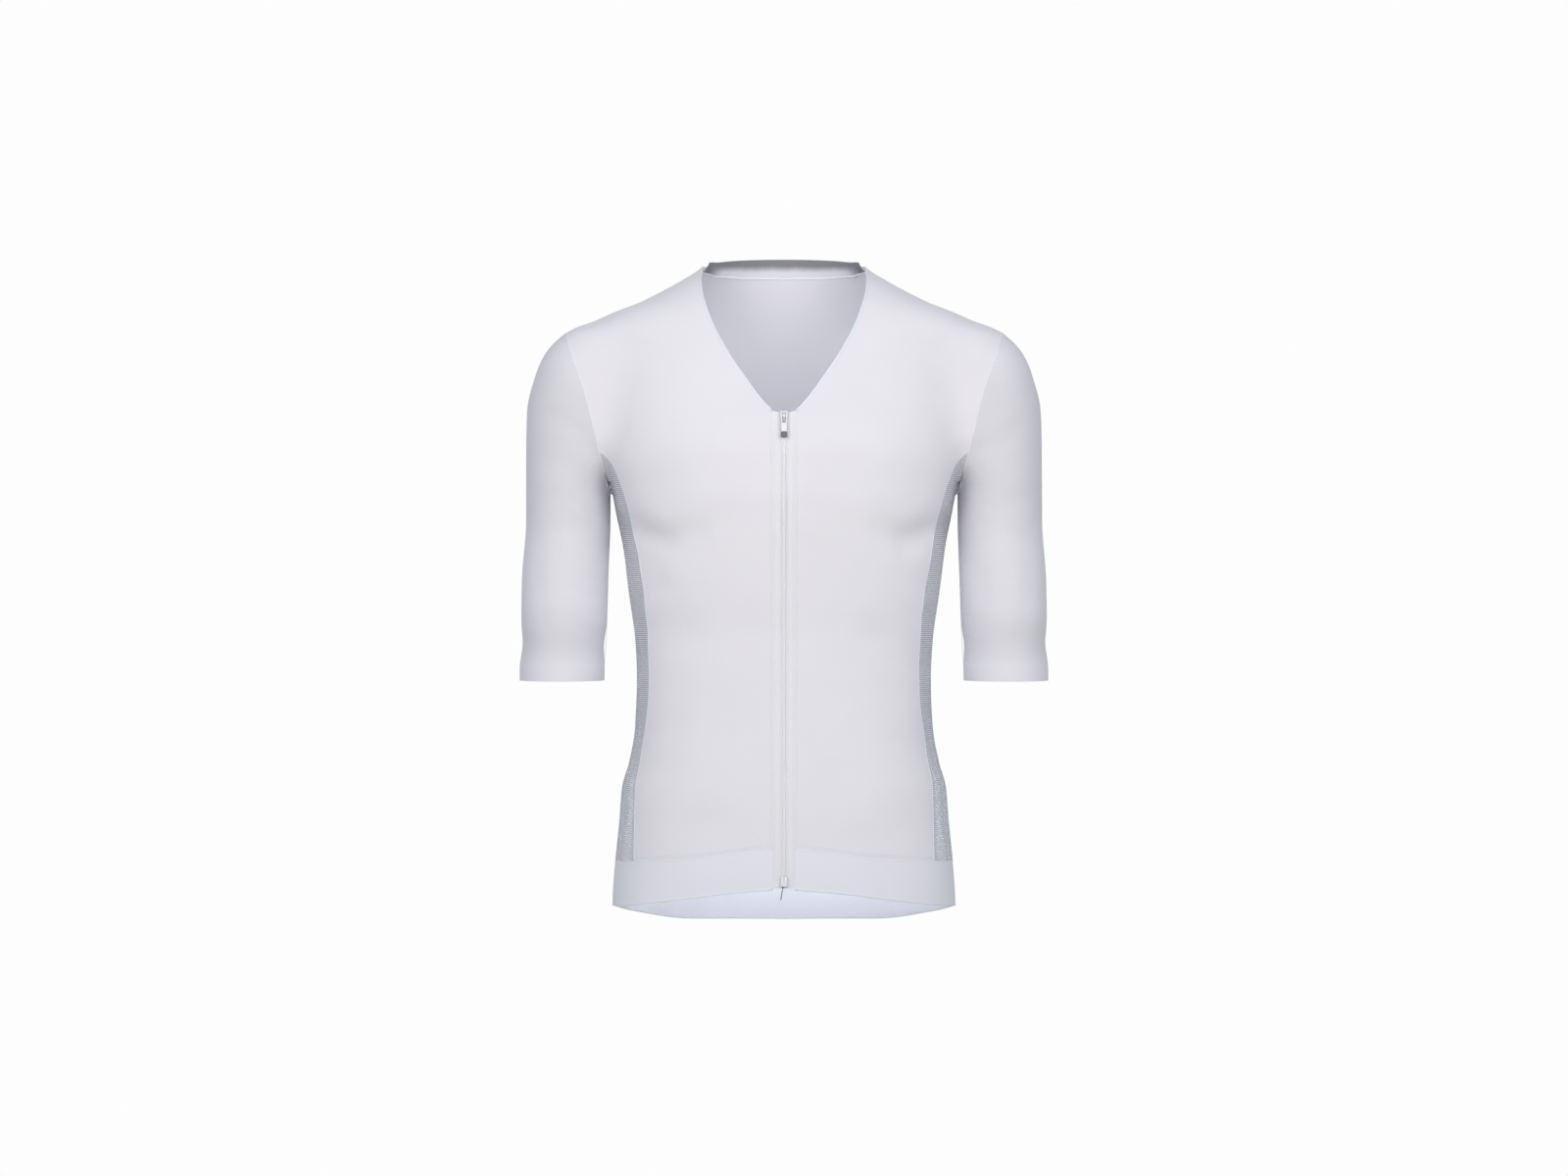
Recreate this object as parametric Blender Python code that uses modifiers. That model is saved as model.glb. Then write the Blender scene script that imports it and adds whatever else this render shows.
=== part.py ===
"""Cycling jersey: short race cut, half sleeves and a full-length zip, holding the rounded form it is worn in.

The origin is on the centre line, level with the shoulders beside the neck and midway front to back.
+Z is up, the front faces -Y, and +X is the wearer's left. Sizes are in millimetres until a mesh is made.
One smooth hollow figure gives the form. Every seam is a curve on it, and each piece of cloth fills the
patch between its own seams, so that neighbouring pieces share their seam points.
"""

import math

import bmesh
import bpy
import numpy as np

MM = 0.001

# Cloth and seams.
CLOTH = 1.2
SEAM_GAP = 0.3
POCKET_LIFT = 1.0
MERGE_WITHIN = 0.01

# Number of cells along each seam. Pieces that meet at a seam use the same number.
CELLS_SHOULDER = 8
CELLS_BACK_NECK = 5
CELLS_ARMHOLE = 9
CELLS_UNDERARM = 10
CELLS_SIDE_SEAM = 25
CELLS_HEM_BAND = 2
CELLS_NECK_BAND = 2
CELLS_SLEEVE = 16
CELLS_POCKET = 8


def table(columns, *rows):
    """Rows of sizes with named columns. The first column is what the others are read by."""
    return dict(zip(columns.split(), np.array(rows, float).T))


# The figure's trunk, from below the hem to the neck. front and back are depths from the middle plane.
TRUNK = table(
    "height half_width front back squareness",
    (-700, 175, 107, 118, 2.3),
    (-645, 175, 108, 119, 2.3),
    (-600, 172, 109, 117, 2.3),
    (-560, 168, 108, 112, 2.3),
    (-525, 165, 107, 107, 2.3),
    (-500, 158, 106, 103, 2.3),
    (-465, 152, 104, 98, 2.3),
    (-420, 150, 102, 93, 2.3),
    (-375, 152, 102, 91, 2.3),
    (-330, 158, 106, 95, 2.3),
    (-285, 164, 111, 101, 2.3),
    (-250, 171, 116, 108, 2.3),
    (-224, 176, 118, 112, 2.3),
    (-190, 185, 118, 116, 2.35),
    (-150, 187, 110, 117, 2.4),
    (-110, 188, 101, 113, 2.4),
    (-80, 195, 93, 105, 2.3),
    (-63, 208, 88, 99, 2.25),
    (-53, 195, 85, 95, 2.2),
    (-43, 175, 82, 90, 2.2),
    (-33, 149, 78, 85, 2.2),
    (-23, 129, 74, 80, 2.15),
    (-14, 112, 70, 76, 2.1),
    (-5, 97, 66, 72, 2.0),
    (0, 88.5, 64, 70, 2.0),
    (10, 79.5, 61, 66, 2.0),
    (20, 77, 59, 63, 2.0),
    (40, 76, 58, 62, 2.0),
)

# The figure's upper arm, from below the cuff to the shoulder. inner and outer are distances from the middle.
ARM = table(
    "height inner outer half_depth forward",
    (-440, 184, 269, 49, 4),
    (-403, 183, 269, 49, 4),
    (-373, 181, 268, 50, 4),
    (-313, 179, 267, 51, 3),
    (-253, 177, 263, 53, 2),
    (-224, 177, 263, 55, 0),
    (-205, 170, 263, 56, 0),
    (-180, 158, 263, 57, -1),
    (-143, 146, 262, 58, -1),
    (-103, 140, 252.5, 56, -1),
    (-83, 138, 243, 52, -1),
    (-68, 142, 229, 44, -1),
    (-60, 154, 216, 34, -1),
    (-54, 168, 201, 17, -1),
    (-51, 184, 186, 1, -1),
)

# How points are moved onto the figure: rounds of Newton steps, each step's limit, the least slope that is
# trusted, and how far apart the slope is measured. Below LEVEL_BELOW a point is moved level, and over
# LEVEL_BLEND above it less and less so.
ROUNDS = 12
LONGEST_STEP = 8
LEAST_SLOPE = 0.05
SLOPE_REACH = 0.5
LEVEL_BELOW = -150
LEVEL_BLEND = 80
LEAST_SIZE = 0.01
FINE = 20

# How a point in a view from in front or behind is found: starting depth, steps, and the share taken of each.
FAR_DEPTH = 130
CASTS = 60
CAST_SHARE = 0.5

# How far trunk and arm melt into each other: wide across the shoulder, hardly at all below the underarm.
MELT = table("height width", (-440, 2), (-220, 2), (-200, 12), (-170, 34), (-80, 34), (-50, 16), (0, 16))

# Below the underarm a sleeve leaves the trunk and a side panel leaves the arm, by PARTING over PARTING_BLEND.
PARTING_HEIGHT = -205
PARTING_BLEND = 15
PARTING = 14

# The trunk's largest folds, alike on left and right: soft troughs in front (side -1) and behind (side 1).
FOLDS = table(
    "side start_out start_height end_out end_height width depth",
    (-1, 168, -249, 122, -266, 13, 4.5),
    (-1, 132, -264, 58, -249, 13, 2.2),
    (-1, 158, -395, 92, -372, 16, 1.6),
    (1, 166, -226, 104, -262, 14, 3.0),
    (1, 132, -398, 44, -424, 15, 3.0),
    (1, 120, -372, 60, -386, 12, 1.6),
)

# A fold has its full depth only this far from the middle plane.
FOLD_FADE = 20

# Lower edges by the turn round the body in degrees, from centre front to centre back.
HEM = table(
    "turn seam edge",
    (0, -579, -618),
    (17, -586, -623),
    (26, -590, -627),
    (58, -596, -638),
    (90, -601, -645),
    (120, -613, -658),
    (150, -626, -670),
    (180, -631, -672),
)

# Seam from the armhole down to the hem band, the same at front and back: distance from the middle by height.
SIDE_SEAM = table(
    "height half_width",
    (-600, 150.5),
    (-522, 149),
    (-499, 145),
    (-471, 141),
    (-440, 136.5),
    (-413, 135.5),
    (-378, 136.5),
    (-324, 141),
    (-297, 146.5),
    (-263, 154.5),
    (-232, 161),
    (-214, 167),
    (-205, 170.5),
    (-196, 175),
    (-190, 180),
    (-185, 186),
)

# Seams and edges as (out, depth, height) from the middle: depth is negative at the front.
ARMHOLE_FRONT = ((221, 14, -62), (222, 0, -61), (219, -22, -68), (212, -38, -86), (205, -46, -109),
                 (197, -50, -137), (191, -50, -162), (187.5, -50, -176), (186, -49, -185))
ARMHOLE_UNDER = ((186, -49, -185), (184, -44, -196), (180, -34, -209), (177, -18, -221), (176.5, 0, -227),
                 (177, 18, -221), (180, 35, -209), (184, 46, -196), (187, 53, -185))
ARMHOLE_BACK = ((187, 53, -185), (192, 57, -160), (199, 57, -130), (206, 53, -105), (214, 42, -82),
                (221, 14, -62))
SHOULDER_SEAM = ((81, 14, 6), (110, 14, -11), (140, 14, -27), (180, 14, -44), (221, 14, -62))
NECKLINE = ((11, -108, -149), (19.5, -106, -140), (27.5, -104, -130), (38, -100, -115), (50, -94, -98),
            (60, -88, -81), (69.5, -80, -63), (76.5, -75, -44), (80.5, -66, -31), (82.5, -56, -20),
            (83, -42, -10), (82.5, -26, -1), (81, 14, 6))
NECK_SEAM = ((81, 14, 6), (79, 36, 2), (61, 54, 1), (33, 66, 0), (0, 70, 0))
NECK_TOP = ((78, 12, 12), (73, 32, 14), (56, 48, 16.5), (31, 59, 18.3), (0, 63, 19))

# Mouth of the pocket panel, from the seam at its side to the middle.
POCKET_MOUTH = ((138, 57, -452), (100, 78, -457), (60, 92, -463), (0, 100, -466))

# Sleeve end and zip.
CUFF_HEIGHT = -417
TAPE_WIDTH = 11
TAPE_DIP = 3
ZIP_SEAM = table("height half_width", (-650, TAPE_WIDTH), (-100, TAPE_WIDTH))
SPINE = table("height half_width", (-650, 0), (20, 0))

# Hard pieces of the zip as (width, depth, length). The bridge's fourth size is the thickness of its bar.
SLIDER_HEIGHT = -155.5
SLIDER_SIZE = (7.4, 3.6, 11.0)
SLIDER_FOOT = 0.76
BRIDGE_SIZE = (1.3, 3.5, 8.4, 1.2)
BRIDGE_ROOT = 1.0
PULL_AXIS_RISE = 1.2
PULL_LEAN = 3
PULL_SIZE = (5.6, 1.2, 16.3)
PULL_BAR = 1.3
PULL_WINDOW = (3.2, 5.8)
GRIP_SIZE = (6.2, 2.6, 5.3)
BOX_HEIGHT = -612
BOX_SIZE = (6.6, 3.2, 9.0)
TILT_REACH = 5.0
EDGE_ROUNDING = 0.5
PULL_ROUNDING = 0.3
GRIP_ROUNDING = 0.8


def read(rows, column, at):
    """A column of a table at any values of its first column: smooth, and never outside its neighbours."""
    key = next(iter(rows.values()))
    value = rows[column]
    step = np.diff(key)
    slope = np.diff(value) / step
    product = slope[:-1] * slope[1:]
    total = slope[:-1] + slope[1:]
    turning = np.where(product > 0, 2 * product / np.where(product > 0, total, 1), 0)
    tangent = np.concatenate([slope[:1], turning, slope[-1:]])
    at = np.clip(at, key[0], key[-1])
    i = np.clip(np.searchsorted(key, at) - 1, 0, len(step) - 1)
    t = (at - key[i]) / step[i]
    rise = (3 - 2 * t) * t * t
    ease_in = t * (1 - t) ** 2 * step[i] * tangent[i]
    ease_out = t * t * (1 - t) * step[i] * tangent[i + 1]
    return value[i] * (1 - rise) + value[i + 1] * rise + ease_in - ease_out


def trunk_distance(points):
    """Roughly how far points are outside the trunk, in millimetres."""
    x, y, z = np.abs(points[..., 0]), points[..., 1], points[..., 2]
    depth = np.where(y < 0, read(TRUNK, "front", z), read(TRUNK, "back", z))
    power = read(TRUNK, "squareness", z)
    size = ((x / read(TRUNK, "half_width", z)) ** power + (np.abs(y) / depth) ** power) ** (1 / power)
    return np.hypot(x, y) * (1 - 1 / np.maximum(size, LEAST_SIZE))


def folded(points):
    """How far the trunk's cloth sinks in its folds."""
    x, y, z = np.abs(points[..., 0]), points[..., 1], points[..., 2]
    sunk = np.zeros(x.shape)
    for side, start_out, start_height, end_out, end_height, width, depth in zip(*FOLDS.values()):
        reach = np.array([end_out - start_out, end_height - start_height])
        along = ((x - start_out) * reach[0] + (z - start_height) * reach[1]) / (reach ** 2).sum()
        along = np.clip(along, 0, 1)
        away = np.hypot(x - start_out - along * reach[0], z - start_height - along * reach[1])
        sunk += depth * np.exp(-(away / width) ** 2) * np.clip(side * y / FOLD_FADE, 0, 1)
    return sunk


def arm_distance(points):
    """Roughly how far points are outside the nearer arm, in millimetres."""
    x, y, z = np.abs(points[..., 0]), points[..., 1], points[..., 2]
    inner, outer = read(ARM, "inner", z), read(ARM, "outer", z)
    across = x - (inner + outer) / 2
    along = y + read(ARM, "forward", z)
    size = np.hypot(across / ((outer - inner) / 2), along / read(ARM, "half_depth", z))
    above = np.maximum(z - ARM["height"][-1], 0)
    return np.hypot(across, along) * (1 - 1 / np.maximum(size, LEAST_SIZE)) + above


def figure(points, part="whole"):
    """Distance outside the figure. Near the underarm a sleeve follows the arm alone, a side panel the trunk."""
    trunk, arm = trunk_distance(points) + folded(points), arm_distance(points)
    z = points[..., 2]
    apart = PARTING * np.clip((PARTING_HEIGHT - z) / PARTING_BLEND, 0, 1)
    if part == "sleeve":
        trunk = trunk + apart
    if part == "side":
        arm = arm + apart
    width = read(MELT, "width", z)
    overlap = np.maximum(width - np.abs(trunk - arm), 0) / width
    return np.minimum(trunk, arm) - overlap ** 2 * width / 4


def slope_of(points, part="whole"):
    """Gradient of the figure's distance at each point."""
    steps = SLOPE_REACH * np.eye(3)
    rises = [figure(points + step, part) - figure(points - step, part) for step in steps]
    return np.stack(rises, -1) / (2 * SLOPE_REACH)


def settle(points, part="whole"):
    """Moves points onto the figure's surface: level on the trunk, and also up or down near the shoulders."""
    level = np.clip((LEVEL_BELOW - points[..., 2]) / LEVEL_BLEND, 0, 1)
    for _ in range(ROUNDS):
        slope = slope_of(points, part)
        way = slope * np.stack([1 + 0 * level, 1 + 0 * level, 1 - level], -1)
        steep = np.maximum((slope * way).sum(-1), LEAST_SLOPE)
        step = np.clip(figure(points, part), -LONGEST_STEP, LONGEST_STEP) / steep
        points = points - step[..., None] * way
    return points


def outward(points, part="whole"):
    slope = slope_of(points, part)
    return slope / np.linalg.norm(slope, axis=-1, keepdims=True)


def spaced(curve, cells):
    """The same curve with evenly spaced points."""
    walked = np.concatenate([[0], np.cumsum(np.linalg.norm(np.diff(curve, axis=0), axis=1))])
    marks = np.linspace(0, walked[-1], cells + 1)
    return np.stack([np.interp(marks, walked, curve[:, i]) for i in range(3)], -1)


def seam(corners, cells, part="whole"):
    """A smooth curve on the figure through a few given points, cut into cells of equal length."""
    corners = np.array(corners, float)
    walked = np.concatenate([[0], np.cumsum(np.linalg.norm(np.diff(corners, axis=0), axis=1))])
    route = {"walked": walked, "x": corners[:, 0], "y": corners[:, 1], "z": corners[:, 2]}
    marks = np.linspace(0, walked[-1], FINE * cells + 1)
    curve = settle(np.stack([read(route, axis, marks) for axis in "xyz"], -1), part)
    return settle(spaced(curve, cells), part)


def round_body(turn, height):
    """Points on the trunk, by the turn in degrees from centre front towards the wearer's left."""
    turn = np.radians(turn)
    power = 2 / read(TRUNK, "squareness", height)
    depth = np.where(np.cos(turn) > 0, read(TRUNK, "front", height), read(TRUNK, "back", height))
    x = read(TRUNK, "half_width", height) * np.abs(np.sin(turn)) ** power
    y = -np.sign(np.cos(turn)) * depth * np.abs(np.cos(turn)) ** power
    return np.stack([x, y, height + 0 * turn], -1)


def turn_at(out, height):
    """The turn in degrees at which the front of the trunk is this far from the middle."""
    power = read(TRUNK, "squareness", height) / 2
    return np.degrees(np.arcsin((out / read(TRUNK, "half_width", height)) ** power))


def hem_curve(edge, start, end, cells):
    """Part of the hem band's upper seam or lower edge, between two turns."""
    turns = np.linspace(start, end, FINE * cells + 1)
    return spaced(round_body(turns, read(HEM, edge, turns)), cells)


def facing(out, height, side):
    """The figure's surface seen from straight in front (side 1) or behind (side -1), at a place in that view."""
    points = np.stack([out, np.full(len(out), -side * FAR_DEPTH), height], -1)
    for _ in range(CASTS):
        points[:, 1] += side * CAST_SHARE * figure(points)
    return points


def upright(foot, head, places, cells, side=1):
    """A seam from the hem band up, at distances from the middle by height. side is 1 in front, -1 behind."""
    heights = np.linspace(foot[2], head[2], FINE * cells + 1)[1:-1]
    curve = facing(read(places, "half_width", heights), heights, side)
    return spaced(np.concatenate([foot[None], curve, head[None]]), cells)


def coons(bottom, top, start, end):
    """The patch between four edges: start and end run from bottom to top. Rows first, then columns."""
    u = np.linspace(0, 1, len(bottom))[None, :, None]
    v = np.linspace(0, 1, len(start))[:, None, None]
    across = (1 - v) * bottom[None] + v * top[None]
    along = (1 - u) * start[:, None] + u * end[:, None]
    corners = ((1 - u) * (1 - v) * bottom[0] + u * (1 - v) * bottom[-1]
               + (1 - u) * v * top[0] + u * v * top[-1])
    return across + along - corners


def panel(bottom, top, start, end, part="whole"):
    """A patch whose inner points lie on the figure and whose edges are the given seams."""
    grid = coons(bottom, top, start, end)
    grid[1:-1, 1:-1] = settle(grid[1:-1, 1:-1], part)
    return grid


def trimmed(grid, normals, closed_round=False, halved=False):
    """The patch with its edges drawn in by half a seam's gap, and further where its wall would lean over it.

    The seam's plane holds the seam and the figure's normals there. A halved patch keeps its first column.
    """
    own = np.cross(np.gradient(grid, axis=0), np.gradient(grid, axis=1))
    own /= np.linalg.norm(own, axis=-1, keepdims=True)
    grid = grid.copy()
    edges = [(np.s_[0, :], np.s_[1, :]), (np.s_[-1, :], np.s_[-2, :])]
    if not closed_round:
        edges.append((np.s_[:, -1], np.s_[:, -2]))
    if not closed_round and not halved:
        edges.append((np.s_[:, 0], np.s_[:, 1]))
    for edge, inside in edges:
        inward = grid[inside] - grid[edge]
        for across in (np.gradient(grid[edge], axis=0), normals[edge]):
            across = across / np.linalg.norm(across, axis=-1, keepdims=True)
            inward = inward - (inward * across).sum(-1, keepdims=True) * across
        inward /= np.linalg.norm(inward, axis=-1, keepdims=True)
        lean = np.abs((own[edge] * inward).sum(-1, keepdims=True))
        grid[edge] += (SEAM_GAP / 2 + CLOTH / 2 * lean) * inward
    return grid


def material(name, colour, roughness, metallic=0.0):
    finish = bpy.data.materials.new(name)
    finish.use_nodes = True
    shader = finish.node_tree.nodes["Principled BSDF"]
    shader.inputs["Base Color"].default_value = (*colour, 1)
    shader.inputs["Roughness"].default_value = roughness
    shader.inputs["Metallic"].default_value = metallic
    return finish


def new_object(name, mesh, finish):
    thing = bpy.data.objects.new(name, mesh)
    mesh.materials.clear()
    mesh.materials.append(finish)
    jersey.objects.link(thing)
    return thing


def wall(name, grid, finish, part="whole", lift=0.0, closed_round=False, halved=False, mirrored=False):
    """A piece of cloth whose outer face is the grid, lifted off the figure along its normals.

    closed_round joins the last column to the first, halved adds the other half of a piece that is open at the
    centre line, and mirrored makes the wearer's right of a pair.
    """
    normals = outward(grid, part)
    middle = trimmed(grid, normals, closed_round, halved) + (lift - (SEAM_GAP + CLOTH) / 2) * normals
    if halved:
        middle[:, 0, 0] = 0
    rows, columns = middle.shape[:2]
    index = np.arange(rows * columns).reshape(rows, columns)
    if closed_round:
        index = np.hstack([index, index[:, :1]])
    quads = np.stack([index[:-1, :-1], index[:-1, 1:], index[1:, 1:], index[1:, :-1]], -1).reshape(-1, 4)
    if mirrored:
        middle = middle * (-1, 1, 1)
    mesh = bpy.data.meshes.new(name)
    mesh.from_pydata((middle.reshape(-1, 3) * MM).tolist(), [], quads.tolist())
    mesh.shade_smooth()
    piece = new_object(name, mesh, finish)
    if halved:
        other_half = piece.modifiers.new("other_half", "MIRROR")
        other_half.merge_threshold = MERGE_WITHIN * MM
    thickness = piece.modifiers.new("cloth", "SOLIDIFY")
    thickness.thickness = CLOTH * MM
    thickness.offset = 0
    return piece


def block(name, size, centre, place, finish, rounding=EDGE_ROUNDING, foot=1.0):
    """A rounded block in the frame of place, (position, tilt about X). foot narrows its lower end."""
    shape = bmesh.new()
    bmesh.ops.create_cube(shape, size=1)
    for vertex in shape.verts:
        if vertex.co.z < 0:
            vertex.co.x *= foot
        vertex.co = [(centre[i] + size[i] * vertex.co[i]) * MM for i in range(3)]
    mesh = bpy.data.meshes.new(name)
    shape.to_mesh(mesh)
    shape.free()
    thing = new_object(name, mesh, finish)
    thing.location = [value * MM for value in place[0]]
    thing.rotation_euler.x = place[1]
    if rounding:
        bevel = thing.modifiers.new("rounding", "BEVEL")
        bevel.width = rounding * MM
        bevel.segments = 2
    return thing


def cut(thing, cutter, operation="DIFFERENCE"):
    """Takes the cutter out of a piece, or joins it on."""
    jersey.objects.unlink(cutter)
    cutters.objects.link(cutter)
    cutter.hide_render = True
    cutter.display_type = "WIRE"
    boolean = thing.modifiers.new(cutter.name, "BOOLEAN")
    boolean.operation = operation
    boolean.object = cutter
    thing.modifiers.move(len(thing.modifiers) - 1, 0)


for leftover in list(bpy.data.objects):
    bpy.data.objects.remove(leftover, do_unlink=True)

jersey = bpy.data.collections.new("cycling_jersey")
cutters = bpy.data.collections.new("cutters")
bpy.context.scene.collection.children.link(jersey)
bpy.context.scene.collection.children.link(cutters)

WHITE_KNIT = material("white_knit", (0.73, 0.74, 0.79), 0.7)
RIBBED_KNIT = material("ribbed_knit", (0.67, 0.67, 0.70), 0.75)
GREY_MESH = material("grey_mesh", (0.45, 0.45, 0.46), 0.8)
BAND_KNIT = material("band_knit", (0.75, 0.76, 0.81), 0.6)
TAPE_WEAVE = material("tape_weave", (0.70, 0.70, 0.74), 0.7)
WHITE_PLASTIC = material("white_plastic", (0.75, 0.76, 0.80), 0.35)
GREY_PLASTIC = material("grey_plastic", (0.12, 0.12, 0.13), 0.5)

# Hem seam and lower edge, from the zip round the wearer's left to centre back.
zip_turn = float(turn_at(TAPE_WIDTH, HEM["seam"][0]))
front_turn = float(turn_at(SIDE_SEAM["half_width"][0], SIDE_SEAM["height"][0]))
BACK_CELLS = CELLS_SHOULDER + CELLS_BACK_NECK
stretches = ((zip_turn, front_turn, CELLS_SHOULDER), (front_turn, 180 - front_turn, CELLS_UNDERARM),
             (180 - front_turn, 180, BACK_CELLS))
hem_front, hem_side, hem_back = [hem_curve("seam", *stretch) for stretch in stretches]
edge_front, edge_side, edge_back = [hem_curve("edge", *stretch) for stretch in stretches]

# Seams of the armhole, shoulder and neck.
armhole_front = seam(ARMHOLE_FRONT, CELLS_ARMHOLE)
armhole_under = seam(ARMHOLE_UNDER, CELLS_UNDERARM)
armhole_back = seam(ARMHOLE_BACK, CELLS_ARMHOLE)
shoulder_seam = seam(SHOULDER_SEAM, CELLS_SHOULDER)
neckline = seam(NECKLINE, CELLS_ARMHOLE)
neck_seam = seam(NECK_SEAM, CELLS_BACK_NECK)
neck_top = seam(NECK_TOP, CELLS_BACK_NECK)

# Upright seams, from the hem band up.
front_seam = upright(hem_front[-1], armhole_front[-1], SIDE_SEAM, CELLS_SIDE_SEAM)
back_seam = upright(hem_back[0], armhole_back[0], SIDE_SEAM, CELLS_SIDE_SEAM, -1)
zip_seam = upright(hem_front[0], neckline[0], ZIP_SEAM, CELLS_SIDE_SEAM)
spine = upright(hem_back[-1], neck_seam[-1], SPINE, CELLS_SIDE_SEAM + CELLS_ARMHOLE, -1)

sides = (("left", False), ("right", True))

# Front panels, side panels.
front = panel(hem_front, shoulder_seam, np.concatenate([zip_seam, neckline[1:]]),
              np.concatenate([front_seam, armhole_front[-2::-1]]))
under = panel(hem_side, armhole_under, front_seam, back_seam, "side")
for side, mirrored in sides:
    wall("front_" + side, front, WHITE_KNIT, mirrored=mirrored)
    wall("side_" + side, under, GREY_MESH, "side", mirrored=mirrored)

# Back panel and the pocket strip that lies on it.
half_back = panel(hem_back[::-1], np.concatenate([neck_seam[::-1], shoulder_seam[1:]]), spine,
                  np.concatenate([back_seam, armhole_back[1:]]))
wall("back", half_back, WHITE_KNIT, halved=True)
mouth = seam(POCKET_MOUTH, BACK_CELLS)[::-1]
half_pocket = panel(hem_back[::-1], mouth, upright(hem_back[-1], mouth[0], SPINE, CELLS_POCKET, -1),
                    upright(hem_back[0], mouth[-1], SIDE_SEAM, CELLS_POCKET, -1))
wall("pocket_panel", half_pocket, WHITE_KNIT, lift=CLOTH + POCKET_LIFT, halved=True)

# Sleeves: rings from the armhole to the cuff.
armhole = np.concatenate([armhole_front[:-1], armhole_under[:-1], armhole_back[:-1]])
around = np.linspace(0, 2 * math.pi, len(armhole), endpoint=False)
cuff_inner, cuff_outer, cuff_depth, cuff_forward = [
    float(read(ARM, column, CUFF_HEIGHT)) for column in ("inner", "outer", "half_depth", "forward")]
cuff = np.stack([(cuff_inner + cuff_outer) / 2 + (cuff_outer - cuff_inner) / 2 * np.cos(around),
                 -cuff_forward - cuff_depth * np.sin(around), np.full(len(around), CUFF_HEIGHT)], -1)
down = np.linspace(0, 1, CELLS_SLEEVE + 1)[:, None, None]
sleeve = (1 - down) * armhole + down * cuff
sleeve[1:-1] = settle(sleeve[1:-1], "sleeve")
for side, mirrored in sides:
    wall("sleeve_" + side, sleeve, RIBBED_KNIT, "sleeve", closed_round=True, mirrored=mirrored)

# Bands at neck and hem.
rise = np.linspace(0, 1, CELLS_NECK_BAND + 1)[:, None, None]
half_band = settle((1 - rise) * neck_seam[::-1] + rise * neck_top[::-1])
wall("neck_band", half_band, BAND_KNIT, halved=True)

rise = np.linspace(0, 1, CELLS_HEM_BAND + 1)[:, None, None]
hem_top = np.concatenate([hem_front, hem_side[1:], hem_back[1:]])[::-1]
hem_edge = np.concatenate([edge_front, edge_side[1:], edge_back[1:]])[::-1]
half_hem = (1 - rise) * hem_edge + rise * hem_top
half_hem[1:-1] = settle(half_hem[1:-1])
wall("hem_band", half_hem, BAND_KNIT, halved=True)

# Zip tapes, from the hem's lower edge to the neckline.
tape_side = np.concatenate([half_hem[:-1, -1], zip_seam])
tape_middle = tape_side * (0, 1, 1)
tape_middle[-1, 2] -= TAPE_DIP
tape_middle[:, 1] = -read(TRUNK, "front", tape_middle[:, 2])
tape = np.stack([tape_middle, tape_side], 1)
for side, mirrored in sides:
    wall("zip_tape_" + side, tape, TAPE_WEAVE, mirrored=mirrored)


def on_zip(height):
    """The place of a hard piece on the zip: a point on the tapes' outer face, and the tapes' tilt about X."""
    above, below = read(TRUNK, "front", np.array([height + TILT_REACH, height - TILT_REACH]))
    return (0, -float(read(TRUNK, "front", height)), height), math.atan((above - below) / (2 * TILT_REACH))


# Slider with its bridge, which the pull's crossbar turns under.
slider_place = on_zip(SLIDER_HEIGHT)
width, depth, length = SLIDER_SIZE
face = -SEAM_GAP - depth
slider = block("zip_slider", SLIDER_SIZE, (0, face + depth / 2, 0), slider_place, WHITE_PLASTIC, foot=SLIDER_FOOT)
bridge_width, bridge_rise, bridge_length, bridge_bar = BRIDGE_SIZE
bridge = block("bridge", (bridge_width, bridge_rise + BRIDGE_ROOT, bridge_length),
               (0, face + (BRIDGE_ROOT - bridge_rise) / 2, 0), slider_place, WHITE_PLASTIC, rounding=0)
slot = block("bridge_slot", (2 * bridge_width, bridge_rise - bridge_bar, bridge_length - 2 * bridge_bar),
             (0, face - (bridge_rise - bridge_bar) / 2, 0), slider_place, WHITE_PLASTIC, rounding=0)
cut(slider, slot)
cut(slider, bridge, "UNION")

# Pull strap and grip, in a frame whose origin is on the hinge axis.
tilt = slider_place[1]
axis_out = face - PULL_AXIS_RISE
hinge = (0, slider_place[0][1] + axis_out * math.cos(tilt), slider_place[0][2] + axis_out * math.sin(tilt))
pull_place = (hinge, tilt + math.radians(PULL_LEAN))
pull_width, pull_depth, pull_length = PULL_SIZE
pull = block("zip_pull", PULL_SIZE, (0, 0, PULL_BAR / 2 - pull_length / 2), pull_place, WHITE_PLASTIC, PULL_ROUNDING)
window = block("pull_window", (PULL_WINDOW[0], 2 * pull_depth, PULL_WINDOW[1]),
               (0, 0, -PULL_BAR / 2 - PULL_WINDOW[1] / 2), pull_place, WHITE_PLASTIC, rounding=0)
cut(pull, window)
grip_top = PULL_BAR / 2 - pull_length - SEAM_GAP
block("zip_grip", GRIP_SIZE, (0, 0, grip_top - GRIP_SIZE[2] / 2), pull_place, GREY_PLASTIC, GRIP_ROUNDING)

# Retainer box at the foot of the zip.
block("zip_box", BOX_SIZE, (0, -SEAM_GAP - BOX_SIZE[1] / 2, 0), on_zip(BOX_HEIGHT), WHITE_PLASTIC)
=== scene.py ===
"""Cycling jersey: the finished look of every piece, round the fixed solids of the part.

The wearer's left is +X, the front faces -Y and +Z is up. Sizes are in millimetres until a mesh is made, and
in the studio they are in metres.
"""

import math

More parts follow.
